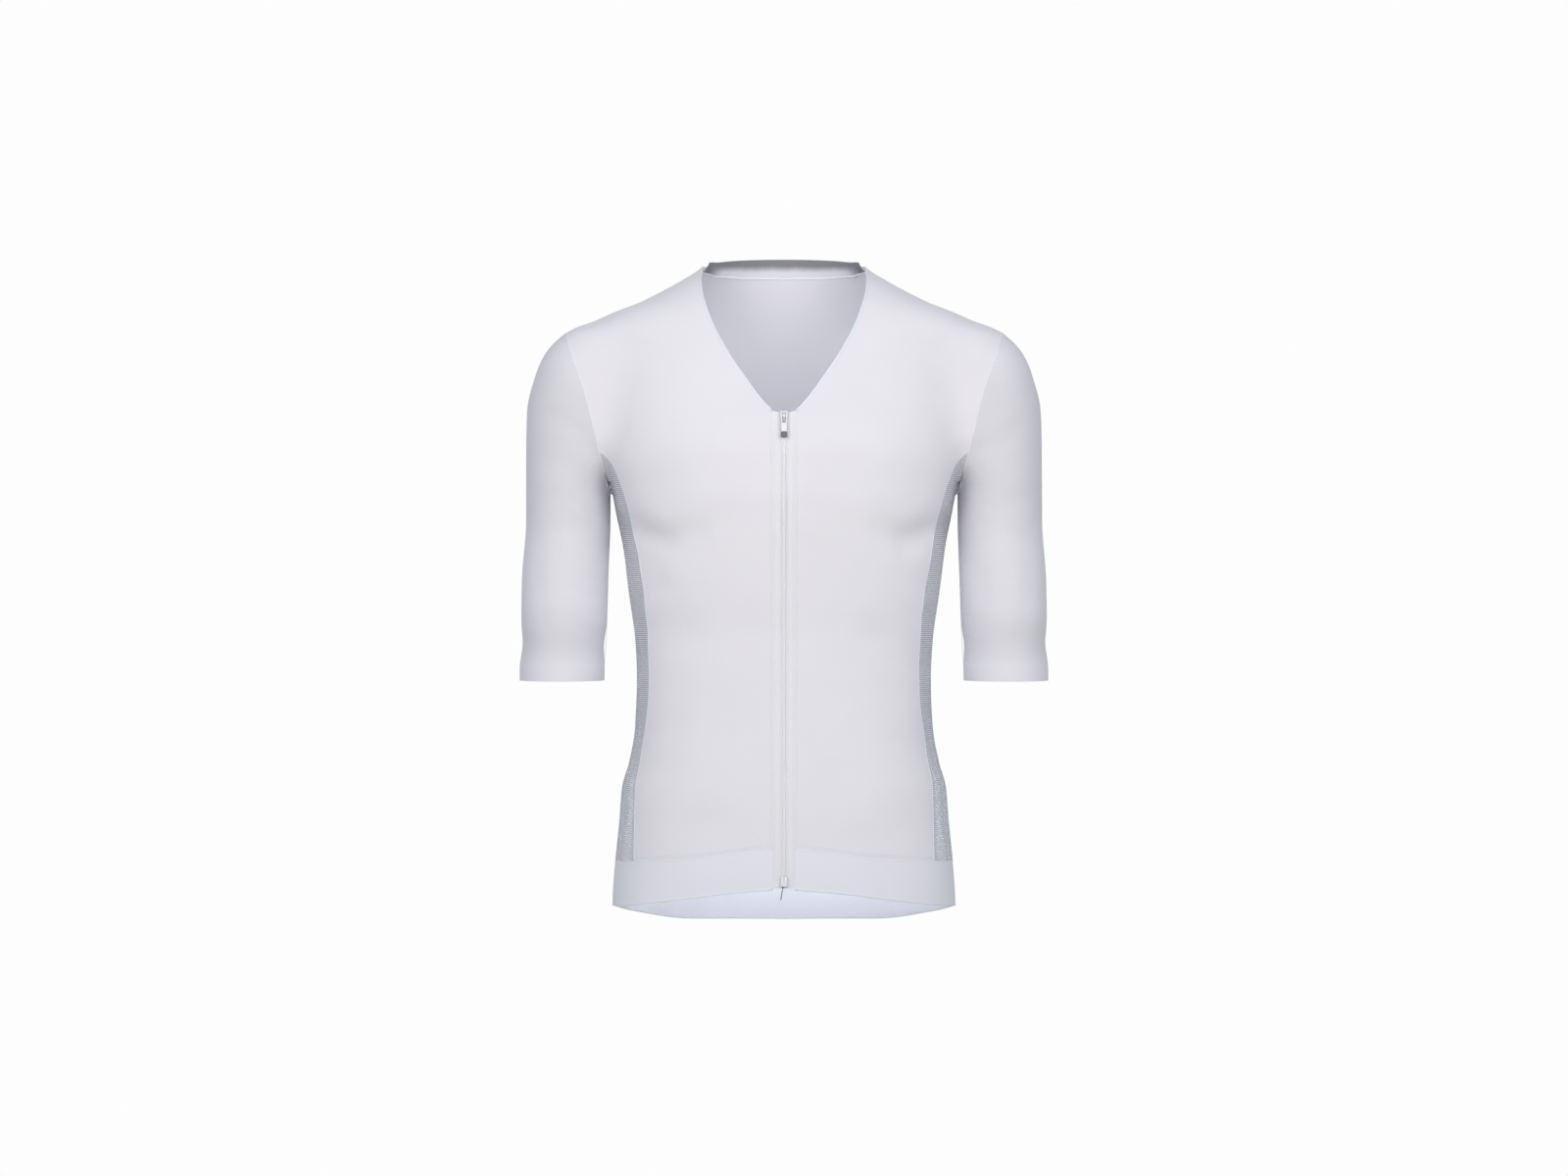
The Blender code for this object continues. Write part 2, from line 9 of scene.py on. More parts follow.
import bmesh
import bpy
import numpy as np
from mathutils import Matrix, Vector


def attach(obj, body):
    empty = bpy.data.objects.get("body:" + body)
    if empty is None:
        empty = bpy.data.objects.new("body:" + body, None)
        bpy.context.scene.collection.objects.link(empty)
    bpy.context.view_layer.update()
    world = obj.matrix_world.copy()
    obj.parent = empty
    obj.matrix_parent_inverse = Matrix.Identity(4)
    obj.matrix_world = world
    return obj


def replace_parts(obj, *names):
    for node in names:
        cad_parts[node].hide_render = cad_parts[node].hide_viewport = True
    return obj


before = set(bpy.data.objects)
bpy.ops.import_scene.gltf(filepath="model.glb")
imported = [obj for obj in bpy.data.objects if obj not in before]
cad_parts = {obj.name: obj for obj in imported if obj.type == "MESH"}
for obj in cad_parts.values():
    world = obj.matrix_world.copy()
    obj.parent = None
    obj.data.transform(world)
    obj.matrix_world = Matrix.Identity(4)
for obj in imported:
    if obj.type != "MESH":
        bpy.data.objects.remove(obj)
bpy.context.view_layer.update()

MM = 0.001

# ------------------------------------------------------------------------------
# Studio. The jersey is seen level, from straight in front of its breast, over a plain pale floor. The light
# is an even soft surround and two wide lamps in front, left and right, a little above the shoulders, so that
# the sides of the body and of the sleeves and the lower body fall off softly. A third lamp lights the back.

EYE = (0, -3.0, -0.323)
LENS = 67.5
SENSOR = 36
FLOOR_HEIGHT = -0.95
FLOOR_REACH = 30
PAPER = 0.985
FLOOR_LIGHT = 0.45
LAMPS = ((-0.8, -1.5, 0.2), (0.8, -1.5, 0.2))
LAMP_AIM = (0, -0.1, -0.2)
LAMP_SIZE = 0.9
LAMP_POWER = 10.2
LAMP_COLOUR = (1, 0.975, 0.955)
BACK_LAMP = (0, 2.0, 0.5)
BACK_POWER = 13
SURROUND_LIGHT = 0.46
SURROUND_RISE = 0.1
FRONT_TINT = (0.94, 0.96, 1)
SIDE_TINT = (0.79, 0.90, 1.06)


class Varying:
    """What a shader node gives out. Sums, differences and products of it add their Math nodes."""

    def __init__(self, looks, socket):
        self.looks, self.socket = looks, socket

    def maths(self, operation, *others):
        return self.looks.node("Math", {"operation": operation}, dict(enumerate((self, *others))))

    def __add__(self, other):
        return self.maths("ADD", other)

    def __sub__(self, other):
        return self.maths("SUBTRACT", other)

    def __rsub__(self, other):
        return self.looks.node("Math", {"operation": "SUBTRACT"}, {0: other, 1: self})

    def __mul__(self, other):
        return self.maths("MULTIPLY", other)

    __radd__, __rmul__ = __add__, __mul__

    def wave(self, pitch):
        """From 0 to 1 and back once every pitch."""
        return (self * (2 * math.pi / pitch)).maths("COSINE") * 0.5 + 0.5

    def ramp(self, start, end):
        """0 up to start, 1 from end on, and smooth between them."""
        return self.looks.node("MapRange", {"interpolation_type": "SMOOTHSTEP"},
                               {"Value": self, "From Min": start, "From Max": end})

    def between(self, first, second):
        """A colour that goes from the first to the second as this goes from 0 to 1."""
        return self.looks.node("Mix", {"data_type": "RGBA"}, {0: self, 6: (*first, 1), 7: (*second, 1)}, 2)


class Looks:
    """The node tree of a material or of the surround."""

    def __init__(self, owner):
        owner.use_nodes = True
        self.tree = owner.node_tree
        self.tree.nodes.clear()

    def node(self, kind, settings, values, output=0):
        """A node of any kind: its settings first, then the values or links of its sockets."""
        made = self.tree.nodes.new("ShaderNode" + kind)
        for setting, value in settings.items():
            setattr(made, setting, value)
        for socket, value in values.items():
            if isinstance(value, Varying):
                self.tree.links.new(value.socket, made.inputs[socket])
            else:
                made.inputs[socket].default_value = value
        return Varying(self, made.outputs[output]) if made.outputs else None


def started(name):
    """A new material, and its looks to fill in."""
    finish = bpy.data.materials.new(name)
    return finish, Looks(finish)


def table(columns, *rows):
    """Rows of sizes with named columns. The first column is what the others are read by."""
    return dict(zip(columns.split(), np.array(rows, float).T))


def new_object(name, data):
    thing = bpy.data.objects.new(name, data)
    bpy.context.scene.collection.objects.link(thing)
    return thing


view = bpy.data.cameras.new("camera")
view.sensor_width = SENSOR
view.lens = LENS
camera = new_object("camera", view)
camera.location = EYE
camera.rotation_euler = (math.pi / 2, 0, 0)
bpy.context.scene.camera = camera
bpy.context.scene.view_settings.view_transform = "Standard"

surround = bpy.data.worlds.new("surround")
bpy.context.scene.world = surround
looks = Looks(surround)
direction = looks.node("TexCoord", {}, {}, "Generated")
overhead = looks.node("SeparateXYZ", {}, {0: direction}, "Z")
sideways = looks.node("SeparateXYZ", {}, {0: direction}, "X").maths("ABSOLUTE").ramp(0.3, 1.0)
light = overhead.ramp(-0.2, 1.0) * SURROUND_RISE + SURROUND_LIGHT
tint = sideways.between(FRONT_TINT, SIDE_TINT)
lit = looks.node("Background", {}, {"Color": tint, "Strength": light})
seen = looks.node("Background", {}, {"Color": (1, 1, 1, 1), "Strength": PAPER})
to_eye = looks.node("LightPath", {}, {}, "Is Camera Ray")
both = looks.node("MixShader", {}, {0: to_eye, 1: lit, 2: seen})
looks.node("OutputWorld", {}, {"Surface": both})

paper, looks = started("pale_paper")
to_eye = looks.node("LightPath", {}, {}, "Is Camera Ray")
strength = to_eye * (PAPER - FLOOR_LIGHT) + FLOOR_LIGHT
glow = looks.node("Emission", {}, {"Color": (1, 1, 1, 1), "Strength": strength})
looks.node("OutputMaterial", {}, {"Surface": glow})
sheet = bpy.data.meshes.new("floor")
corners = [(x * FLOOR_REACH, y * FLOOR_REACH, FLOOR_HEIGHT) for x, y in ((-1, -1), (1, -1), (1, 1), (-1, 1))]
sheet.from_pydata(corners, [], [(0, 1, 2, 3)])
sheet.materials.append(paper)
new_object("floor", sheet)


def light_panel(name, width, height, power, colour, location, aim):
    """A plain rectangular area light that faces its aim. The camera doesn't see it."""
    glow = bpy.data.lights.new(name, "AREA")
    glow.shape = "RECTANGLE"
    glow.size, glow.size_y, glow.energy, glow.color = width, height, power, colour
    lamp = new_object(name, glow)
    lamp.location = location
    lamp.rotation_euler = (Vector(aim) - Vector(location)).to_track_quat("-Z", "Y").to_euler()
    lamp.visible_camera = False


for location in LAMPS:
    light_panel("front_light", LAMP_SIZE, LAMP_SIZE, LAMP_POWER, LAMP_COLOUR, location, LAMP_AIM)
light_panel("back_light", LAMP_SIZE, LAMP_SIZE, BACK_POWER, LAMP_COLOUR, BACK_LAMP, LAMP_AIM)

# Thin white cloth lets light through, so the hollow has soft light of its own, near the neck and the hem, and
# so have the gaps between the sleeves and the body. aim_x and aim_y are the way that a panel faces.
INNER_COLOUR = (0.93, 0.97, 1.05)
INNER_LIGHTS = table(
    "x y z aim_x aim_y width height power",
    (0, -30, -126, 0, 1, 120, 96, 0.073),
    (0, -20, -560, 0, 1, 260, 60, 0.265),
    (-170, -30, -352, -1, 0, 60, 125, 0.003),
    (170, -30, -352, 1, 0, 60, 125, 0.003),
    (-170, -30, -352, 1, 0, 60, 125, 0.001),
    (170, -30, -352, -1, 0, 60, 125, 0.001),
)
for x, y, z, aim_x, aim_y, width, height, power in zip(*INNER_LIGHTS.values()):
    place = Vector((x, y, z)) * MM
    light_panel("inner_light", width * MM, height * MM, power, INNER_COLOUR, place,
                place + Vector((aim_x, aim_y, 0)))

# ------------------------------------------------------------------------------
# Front panels: two pieces of fine smooth polyester knit, split by the zip, each with half of the low V neck.
# They are sewn to the back at the shoulders, to the sleeves, to the side panels and to the hem band. The
# form is the worn one: a smooth hollow figure that all pieces follow, with folds under the chest and arms.

FINER = 5
CELLS_SHOULDER = 8 * FINER
CELLS_BACK_NECK = 5 * FINER
CELLS_ARMHOLE = 9 * FINER
CELLS_UNDERARM = 10 * FINER
CELLS_SIDE_SEAM = 25 * FINER
CLOTH = 0.7
SKIN = 0.15

TRUNK = table(
    "height half_width front back squareness",
    (-700, 175, 107, 118, 2.3),
    (-645, 175, 108, 119, 2.3),
    (-600, 172, 109, 117, 2.3),
    (-560, 168, 108, 112, 2.3),
    (-525, 165, 107, 107, 2.3),
    (-500, 158, 106, 103, 2.3),
    (-465, 152, 104, 98, 2.3),
    (-420, 150, 102, 93, 2.3),
    (-375, 152, 102, 91, 2.3),
    (-330, 158, 106, 95, 2.3),
    (-285, 164, 111, 101, 2.3),
    (-250, 171, 116, 108, 2.3),
    (-224, 176, 118, 112, 2.3),
    (-190, 185, 118, 116, 2.35),
    (-150, 187, 110, 117, 2.4),
    (-110, 188, 101, 113, 2.4),
    (-80, 195, 93, 105, 2.3),
    (-63, 208, 88, 99, 2.25),
    (-53, 195, 85, 95, 2.2),
    (-43, 175, 82, 90, 2.2),
    (-33, 149, 78, 85, 2.2),
    (-23, 129, 74, 80, 2.15),
    (-14, 112, 70, 76, 2.1),
    (-5, 97, 66, 72, 2.0),
    (0, 88.5, 64, 70, 2.0),
    (10, 79.5, 61, 66, 2.0),
    (20, 77, 59, 63, 2.0),
    (40, 76, 58, 62, 2.0),
)

ARM = table(
    "height inner outer half_depth forward",
    (-440, 184, 269, 49, 4),
    (-403, 183, 269, 49, 4),
    (-373, 181, 268, 50, 4),
    (-313, 179, 267, 51, 3),
    (-253, 177, 263, 53, 2),
    (-224, 177, 263, 55, 0),
    (-205, 170, 263, 56, 0),
    (-180, 158, 263, 57, -1),
    (-143, 146, 262, 58, -1),
    (-103, 140, 252.5, 56, -1),
    (-83, 138, 243, 52, -1),
    (-68, 142, 229, 44, -1),
    (-60, 154, 216, 34, -1),
    (-54, 168, 201, 17, -1),
    (-51, 184, 186, 1, -1),
)

ROUNDS = 12
LONGEST_STEP = 8
LEAST_SLOPE = 0.05
SLOPE_REACH = 0.5
LEVEL_BELOW = -150
LEVEL_BLEND = 80
LEAST_SIZE = 0.01
TINY = 1e-9
FINE = 4
FAR_DEPTH = 130
CASTS = 60
CAST_SHARE = 0.5

MELT = table("height width", (-440, 2), (-220, 2), (-200, 12), (-170, 34), (-80, 34), (-50, 16), (0, 16))
EASE_ROUNDS = 5
EASE_FROM = -105
EASE_BLEND = 25
EASE_SHARE = 0.5
PARTING_HEIGHT = -205
PARTING_BLEND = 15
PARTING = 14

FOLDS = table(
    "side start_out start_height end_out end_height width depth",
    (-1, 168, -259, 122, -275, 12, 3.8),
    (-1, 132, -273, 62, -260, 13, 0.9),
    (-1, 158, -395, 92, -372, 16, 1.6),
    (1, 166, -226, 104, -262, 14, 3.0),
    (1, 132, -398, 44, -424, 15, 3.0),
    (1, 120, -372, 60, -386, 12, 1.6),
)
FOLD_FADE = 20

# Finer creases in the cloth, left and right unlike: side -1 is the front and 1 the back. bow is how far a
# crease's middle strays from straight.
CREASES = table(
    "side start_x start_z end_x end_z bow width depth",
    (-1, -164, -278, -80, -272, 7, 19, 2.6),
    (-1, 164, -270, 92, -264, -6, 17, 2.2),
    (-1, -178, -204, -138, -268, 7, 13, 2.6),
    (-1, 178, -206, 142, -266, -7, 13, 2.4),
    (-1, -142, -276, -120, -326, 4, 14, 1.4),
    (-1, 142, -286, 116, -292, 3, 9, 0.7),
    (-1, -64, -250, 34, -246, 4, 15, 0.6),
    (-1, -150, -368, -104, -350, 4, 10, 0.9),
    (-1, -147, -330, -118, -318, 3, 9, 0.6),
    (-1, 144, -402, 98, -388, -4, 9, 0.7),
    (-1, 148, -352, 120, -344, -3, 8, 0.5),
    (-1, -150, -470, -104, -450, 4, 10, 0.6),
    (-1, 150, -492, 112, -470, -4, 10, 0.6),
    (-1, -120, -560, -60, -548, 3, 12, 0.5),
    (-1, 60, -572, 128, -556, 3, 12, 0.5),
    (-1, 112, -40, 60, -92, 3, 11, 0.5),
    (-1, -118, -44, -66, -84, -3, 11, 0.5),
    (-1, -196, -176, -244, -150, 6, 9, 1.0),
    (-1, 196, -182, 240, -158, 5, 9, 0.9),
    (-1, -198, -214, -250, -196, 5, 10, 0.8),
    (-1, 200, -240, 256, -226, 4, 10, 0.7),
    (-1, -194, -268, -232, -262, 3, 9, 0.6),
    (-1, -190, -366, -262, -358, 4, 11, 0.8),
    (-1, 192, -360, 264, -368, 4, 11, 0.8),
    (-1, -246, -268, -238, -366, 3, 7, 0.5),
    (-1, -196, -396, -214, -350, -3, 8, 0.7),
    (-1, 245, -270, 238, -376, -3, 7, 0.6),
    (-1, 198, -300, 206, -350, 3, 7, 0.5),
    (1, -150, -250, -62, -284, 6, 10, 1.1),
    (1, 156, -258, 74, -280, -5, 10, 1.0),
    (1, -96, -150, -40, -214, 5, 12, 0.7),
    (1, 92, -158, 44, -206, -5, 12, 0.7),
    (1, -140, -372, -30, -392, 5, 11, 1.2),
    (1, 24, -398, 138, -376, -5, 11, 1.1),
    (1, -124, -436, -52, -448, 4, 10, 0.8),
    (1, 60, -446, 130, -428, -4, 10, 0.8),
    (1, -150, -118, -70, -72, -4, 11, 0.7),
    (1, 148, -122, 78, -76, 4, 11, 0.7),
    (1, -206, -176, -252, -206, 5, 9, 1.2),
    (1, 206, -186, 254, -212, -5, 9, 1.1),
    (1, -196, -250, -254, -276, 5, 10, 1.2),
    (1, 196, -262, 252, -282, -5, 10, 1.1),
    (1, -192, -330, -258, -322, 4, 11, 0.9),
    (1, 194, -336, 256, -330, 4, 11, 0.9),
)
LIP_PLACE = 1.8
LIP_WIDTH = 0.9
LIP_SHARE = 0.15
CREASE_TAPER = 0.1

# Between the creases the cloth is a little uneven: by how much, and its three slow waves. A wave is its
# lengths along x, y and z, and its shift.
UNEVEN = 0.3
UNEVEN_WAVES = (((31, math.inf, 43), 1.3), ((math.inf, 27, -57), 0), ((53, math.inf, -38), 0))

SIDE_SEAM = table(
    "height half_width",
    (-600, 150.5),
    (-522, 149),
    (-499, 145),
    (-471, 141),
    (-440, 136.5),
    (-413, 135.5),
    (-378, 136.5),
    (-324, 141),
    (-297, 146.5),
    (-263, 154.5),
    (-232, 161),
    (-214, 167),
    (-205, 170.5),
    (-196, 175),
    (-190, 180),
    (-185, 186),
)
HEM = table(
    "turn seam edge",
    (0, -579, -618),
    (17, -586, -623),
    (26, -590, -627),
    (58, -596, -638),
    (90, -601, -645),
    (120, -613, -658),
    (150, -626, -670),
    (180, -631, -672),
)
ARMHOLE_FRONT = ((221, 14, -62), (222, 0, -61), (219, -22, -68), (212, -38, -86), (205, -46, -109),
                 (197, -50, -137), (191, -50, -162), (187.5, -50, -176), (186, -49, -185))
SHOULDER_SEAM = ((81, 14, 6), (110, 14, -11), (140, 14, -27), (180, 14, -44), (221, 14, -62))
NECKLINE = ((11, -108, -149), (19.5, -106, -140), (27.5, -104, -130), (38, -100, -115), (50, -94, -98),
            (60, -88, -81), (69.5, -80, -63), (76.5, -75, -44), (80.5, -66, -31), (82.5, -56, -20),
            (83, -42, -10), (82.5, -26, -1), (81, 14, 6))
TAPE_WIDTH = 11
TAPE_DIP = 3
ZIP_SEAM = table("height half_width", (-650, TAPE_WIDTH), (-100, TAPE_WIDTH))


def read(rows, column, at):
    """A column of a table at any values of its first column: smooth, and never outside its neighbours."""
    key = next(iter(rows.values()))
    value = rows[column]
    step = np.diff(key)
    slope = np.diff(value) / step
    product = slope[:-1] * slope[1:]
    total = slope[:-1] + slope[1:]
    turning = np.where(product > 0, 2 * product / np.where(product > 0, total, 1), 0)
    tangent = np.concatenate([slope[:1], turning, slope[-1:]])
    at = np.clip(at, key[0], key[-1])
    i = np.clip(np.searchsorted(key, at) - 1, 0, len(step) - 1)
    t = (at - key[i]) / step[i]
    rise = (3 - 2 * t) * t * t
    ease_in = t * (1 - t) ** 2 * step[i] * tangent[i]
    ease_out = t * t * (1 - t) * step[i] * tangent[i + 1]
    return value[i] * (1 - rise) + value[i + 1] * rise + ease_in - ease_out


def places_of(points):
    """The points' distances from the middle, and their places front to back and up."""
    return np.abs(points[..., 0]), points[..., 1], points[..., 2]


def trunk_distance(points):
    """Roughly how far points are outside the trunk."""
    x, y, z = places_of(points)
    depth = np.where(y < 0, read(TRUNK, "front", z), read(TRUNK, "back", z))
    power = read(TRUNK, "squareness", z)
    size = ((x / read(TRUNK, "half_width", z)) ** power + (np.abs(y) / depth) ** power) ** (1 / power)
    return np.hypot(x, y) * (1 - 1 / np.maximum(size, LEAST_SIZE))


def folded(points):
    """How far the trunk's cloth sinks in its largest folds."""
    x, y, z = places_of(points)
    sunk = np.zeros(x.shape)
    for side, start_out, start_height, end_out, end_height, width, depth in zip(*FOLDS.values()):
        reach = np.array([end_out - start_out, end_height - start_height])
        along = ((x - start_out) * reach[0] + (z - start_height) * reach[1]) / (reach ** 2).sum()
        along = np.clip(along, 0, 1)
        away = np.hypot(x - start_out - along * reach[0], z - start_height - along * reach[1])
        sunk += depth * np.exp(-(away / width) ** 2) * np.clip(side * y / FOLD_FADE, 0, 1)
    return sunk


def arm_distance(points):
    """Roughly how far points are outside the nearer arm."""
    x, y, z = places_of(points)
    inner, outer = read(ARM, "inner", z), read(ARM, "outer", z)
    across = x - (inner + outer) / 2
    along = y + read(ARM, "forward", z)
    size = np.hypot(across / ((outer - inner) / 2), along / read(ARM, "half_depth", z))
    above = np.maximum(z - ARM["height"][-1], 0)
    return np.hypot(across, along) * (1 - 1 / np.maximum(size, LEAST_SIZE)) + above


def figure(points, part="whole"):
    """Distance outside the figure. Near the underarm a sleeve follows the arm, and a side panel the trunk."""
    trunk, arm = trunk_distance(points) + folded(points), arm_distance(points)
    z = points[..., 2]
    apart = PARTING * np.clip((PARTING_HEIGHT - z) / PARTING_BLEND, 0, 1)
    if part == "sleeve":
        trunk = trunk + apart
    if part == "side":
        arm = arm + apart
    width = read(MELT, "width", z)
    overlap = np.maximum(width - np.abs(trunk - arm), 0) / width
    return np.minimum(trunk, arm) - overlap ** 2 * width / 4


def slope_of(points, part="whole"):
    """Gradient of the figure's distance at each point."""
    steps = SLOPE_REACH * np.eye(3)
    rises = [figure(points + step, part) - figure(points - step, part) for step in steps]
    return np.stack(rises, -1) / (2 * SLOPE_REACH)


def settle(points, part="whole"):
    """Moves points onto the figure's surface: level on the trunk, and also up or down near the shoulders."""
    level = np.clip((LEVEL_BELOW - points[..., 2]) / LEVEL_BLEND, 0, 1)
    for _ in range(ROUNDS):
        slope = slope_of(points, part)
        way = slope * np.stack([1 + 0 * level, 1 + 0 * level, 1 - level], -1)
        steep = np.maximum((slope * way).sum(-1), LEAST_SLOPE)
        step = np.clip(figure(points, part), -LONGEST_STEP, LONGEST_STEP) / steep
        points = points - step[..., None] * way
    return points


def unit(vectors):
    return vectors / np.maximum(np.linalg.norm(vectors, axis=-1, keepdims=True), TINY)


def walked(curve):
    """How far along a curve each of its points is."""
    return np.concatenate([[0], np.cumsum(np.linalg.norm(np.diff(curve, axis=0), axis=1))])


def spaced(curve, cells):
    """The same curve with evenly spaced points."""
    way = walked(curve)
    marks = np.linspace(0, way[-1], cells + 1)
    return np.stack([np.interp(marks, way, curve[:, i]) for i in range(3)], -1)


def chain(*curves):
    """Curves as one, where each starts at the end of the last."""
    return np.concatenate([curves[0]] + [curve[1:] for curve in curves[1:]])


def ruled(first, last, cells):
    """Rows of points, evenly from the first curve to the last."""
    share = np.linspace(0, 1, cells + 1)[:, None, None]
    return (1 - share) * first + share * last


def seam(corners, cells):
    """A smooth curve on the figure through a few given points, cut into cells of equal length."""
    corners = np.array(corners, float)
    way = walked(corners)
    route = {"way": way, "x": corners[:, 0], "y": corners[:, 1], "z": corners[:, 2]}
    marks = np.linspace(0, way[-1], FINE * cells + 1)
    curve = settle(np.stack([read(route, axis, marks) for axis in "xyz"], -1))
    return settle(spaced(curve, cells))


def round_body(turn, height):
    """Points on the trunk, by the turn in degrees from centre front towards the wearer's left."""
    turn = np.radians(turn)
    power = 2 / read(TRUNK, "squareness", height)
    depth = np.where(np.cos(turn) > 0, read(TRUNK, "front", height), read(TRUNK, "back", height))
    x = read(TRUNK, "half_width", height) * np.abs(np.sin(turn)) ** power
    y = -np.sign(np.cos(turn)) * depth * np.abs(np.cos(turn)) ** power
    return np.stack([x, y, height + 0 * turn], -1)


def turn_at(out, height):
    """The turn in degrees at which the front of the trunk is this far from the middle."""
    power = read(TRUNK, "squareness", height) / 2
    return float(np.degrees(np.arcsin((out / read(TRUNK, "half_width", height)) ** power)))


def hem_curve(edge, start, end, cells):
    """Part of the hem band's upper seam or lower edge, between two turns."""
    turns = np.linspace(start, end, FINE * cells + 1)
    return spaced(round_body(turns, read(HEM, edge, turns)), cells)


def cast(out, height, side):
    """Points on the figure, by their place as seen from the front (side 1) or from behind (side -1)."""
    points = np.stack([out, np.full(len(out), -side * FAR_DEPTH), height], -1)
    for _ in range(CASTS):
        points[:, 1] += side * CAST_SHARE * figure(points)
    return points


def upright(foot, head, places, cells, side=1):
    """A seam from the hem band up, at distances from the middle by height. side is 1 in front, -1 behind."""
    heights = np.linspace(foot[2], head[2], FINE * cells + 1)[1:-1]
    curve = cast(read(places, "half_width", heights), heights, side)
    return spaced(np.concatenate([foot[None], curve, head[None]]), cells)


def coons(bottom, top, start, end):
    """The patch between four edges: start and end run from bottom to top. Rows first, then columns."""
    u = np.linspace(0, 1, len(bottom))[None, :, None]
    v = np.linspace(0, 1, len(start))[:, None, None]
    across = (1 - v) * bottom[None] + v * top[None]
    along = (1 - u) * start[:, None] + u * end[:, None]
    corners = ((1 - u) * (1 - v) * bottom[0] + u * (1 - v) * bottom[-1]
               + (1 - u) * v * top[0] + u * v * top[-1])
    return across + along - corners


def panel(bottom, top, start, end, part="whole"):
    """A patch between the given seams, with its inner points on the figure. Over the shoulders the cloth is
    eased, so that it has no sharp ridge.
    """
    grid = coons(bottom, top, start, end)
    grid[1:-1, 1:-1] = settle(grid[1:-1, 1:-1], part)
    for _ in range(EASE_ROUNDS):
        around = (grid[2:, 1:-1] + grid[:-2, 1:-1] + grid[1:-1, 2:] + grid[1:-1, :-2]) / 4
        share = np.clip((grid[1:-1, 1:-1, 2:] - EASE_FROM) / EASE_BLEND, 0, 1) * EASE_SHARE
        grid[1:-1, 1:-1] += share * (around - grid[1:-1, 1:-1])
    return grid


def creased(points, part="whole"):
    """Points on the figure, sunk into the cloth's finer creases, with the outward directions there."""
    x, y, z = np.moveaxis(points, -1, 0)
    sunk = UNEVEN * np.prod([np.sin((points / wave).sum(-1) + shift) for wave, shift in UNEVEN_WAVES], 0)
    for side, start_x, start_z, end_x, end_z, bow, width, depth in zip(*CREASES.values()):
        reach = np.array([end_x - start_x, end_z - start_z])
        length = np.hypot(*reach)
        along = ((x - start_x) * reach[0] + (z - start_z) * reach[1]) / length ** 2
        off = ((x - start_x) * reach[1] - (z - start_z) * reach[0]) / length
        inside = np.clip(along, 0, 1)
        away = np.hypot(off - bow * 4 * inside * (1 - inside), (along - inside) * length) / width
        form = np.exp(-away ** 2) - LIP_SHARE * np.exp(-((away - LIP_PLACE) / LIP_WIDTH) ** 2)
        place = np.clip(along * (1 - 2 * CREASE_TAPER) + CREASE_TAPER, 0, 1)
        ends = np.sqrt(np.clip(np.sin(math.pi * place), 0, 1))
        sunk += depth * form * ends * np.clip(side * y / FOLD_FADE, 0, 1)
    normals = unit(slope_of(points, part))
    return points - sunk[..., None] * normals, normals


def lengths(grid, axis):
    """How far each point is along its row (axis 1) or column (axis 0)."""
    steps = np.linalg.norm(np.diff(grid, axis=axis), axis=-1)
    start = np.zeros_like(np.take(steps, [0], axis))
    return np.concatenate([start, np.cumsum(steps, axis)], axis)


def dressed(thing, finish, body="garment"):
    """Gives a piece its material and the body it moves with."""
    if finish.name not in thing.data.materials:
        thing.data.materials.append(finish)
    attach(thing, body)
    return thing


def mapped_mesh(name, points, faces, places):
    """A smooth mesh. Its map gives each point's place on the flat cut, in millimetres."""
    mesh = bpy.data.meshes.new(name)
    mesh.from_pydata((points * MM).tolist(), [], faces)
    mesh.uv_layers.new(name="cut").data.foreach_set("uv", places[np.concatenate(faces)].ravel())
    mesh.shade_smooth()
    return mesh


def cloth(name, outer, normals, finish, slot, along=None, across=None, thick=CLOTH, lining=None):
    """A thin shell of cloth with the given outer face."""
    along = lengths(outer, 0) if along is None else along
    across = lengths(outer, 1) if across is None else across
    faces_out = (np.cross(outer[1:-1, 2:] - outer[1:-1, :-2], outer[2:, 1:-1] - outer[:-2, 1:-1])
                 * normals[1:-1, 1:-1]).sum() > 0
    if not faces_out:
        outer, normals, along, across = outer[:, ::-1], normals[:, ::-1], along[:, ::-1], across[:, ::-1]
    rows, columns = outer.shape[:2]
    middle = outer - (SKIN + thick / 2) * normals
    index = np.arange(rows * columns).reshape(rows, columns)
    quads = np.stack([index[:-1, :-1], index[:-1, 1:], index[1:, 1:], index[1:, :-1]], -1).reshape(-1, 4)
    places = np.stack([across, along], -1).reshape(-1, 2)
    mesh = mapped_mesh(name, middle.reshape(-1, 3), quads.tolist(), places)
    shape = bmesh.new()
    shape.from_mesh(mesh)
    for edge in shape.edges:
        edge.smooth = not edge.is_boundary
    shape.to_mesh(mesh)
    shape.free()
    piece = new_object(name + "_cloth", mesh)
    thickness = piece.modifiers.new("cloth", "SOLIDIFY")
    thickness.thickness = thick * MM
    thickness.offset = 0
    dressed(piece, finish)
    if lining:
        mesh.materials.append(lining)
        thickness.material_offset = 1
    return piece


def fitted(name, *shape, **fixed):
    """A piece of cloth in place of the solid of its name."""
    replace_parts(cloth(name, *shape, **fixed), name)


def on_cut(looks):
    """The place on a piece's flat cut: across it and along it, in millimetres."""
    spot = looks.node("UVMap", {"uv_map": "cut"}, {})
    return [looks.node("SeparateXYZ", {}, {0: spot}, axis) for axis in "XY"]


def mottled(looks, size, detail=3):
    """Soft uneven patches from 0 to 1, of about this size in millimetres."""
    spot = looks.node("TexCoord", {}, {}, "Object")
    return looks.node("TexNoise", {}, {"Vector": spot, "Scale": 1000 / size, "Detail": detail})


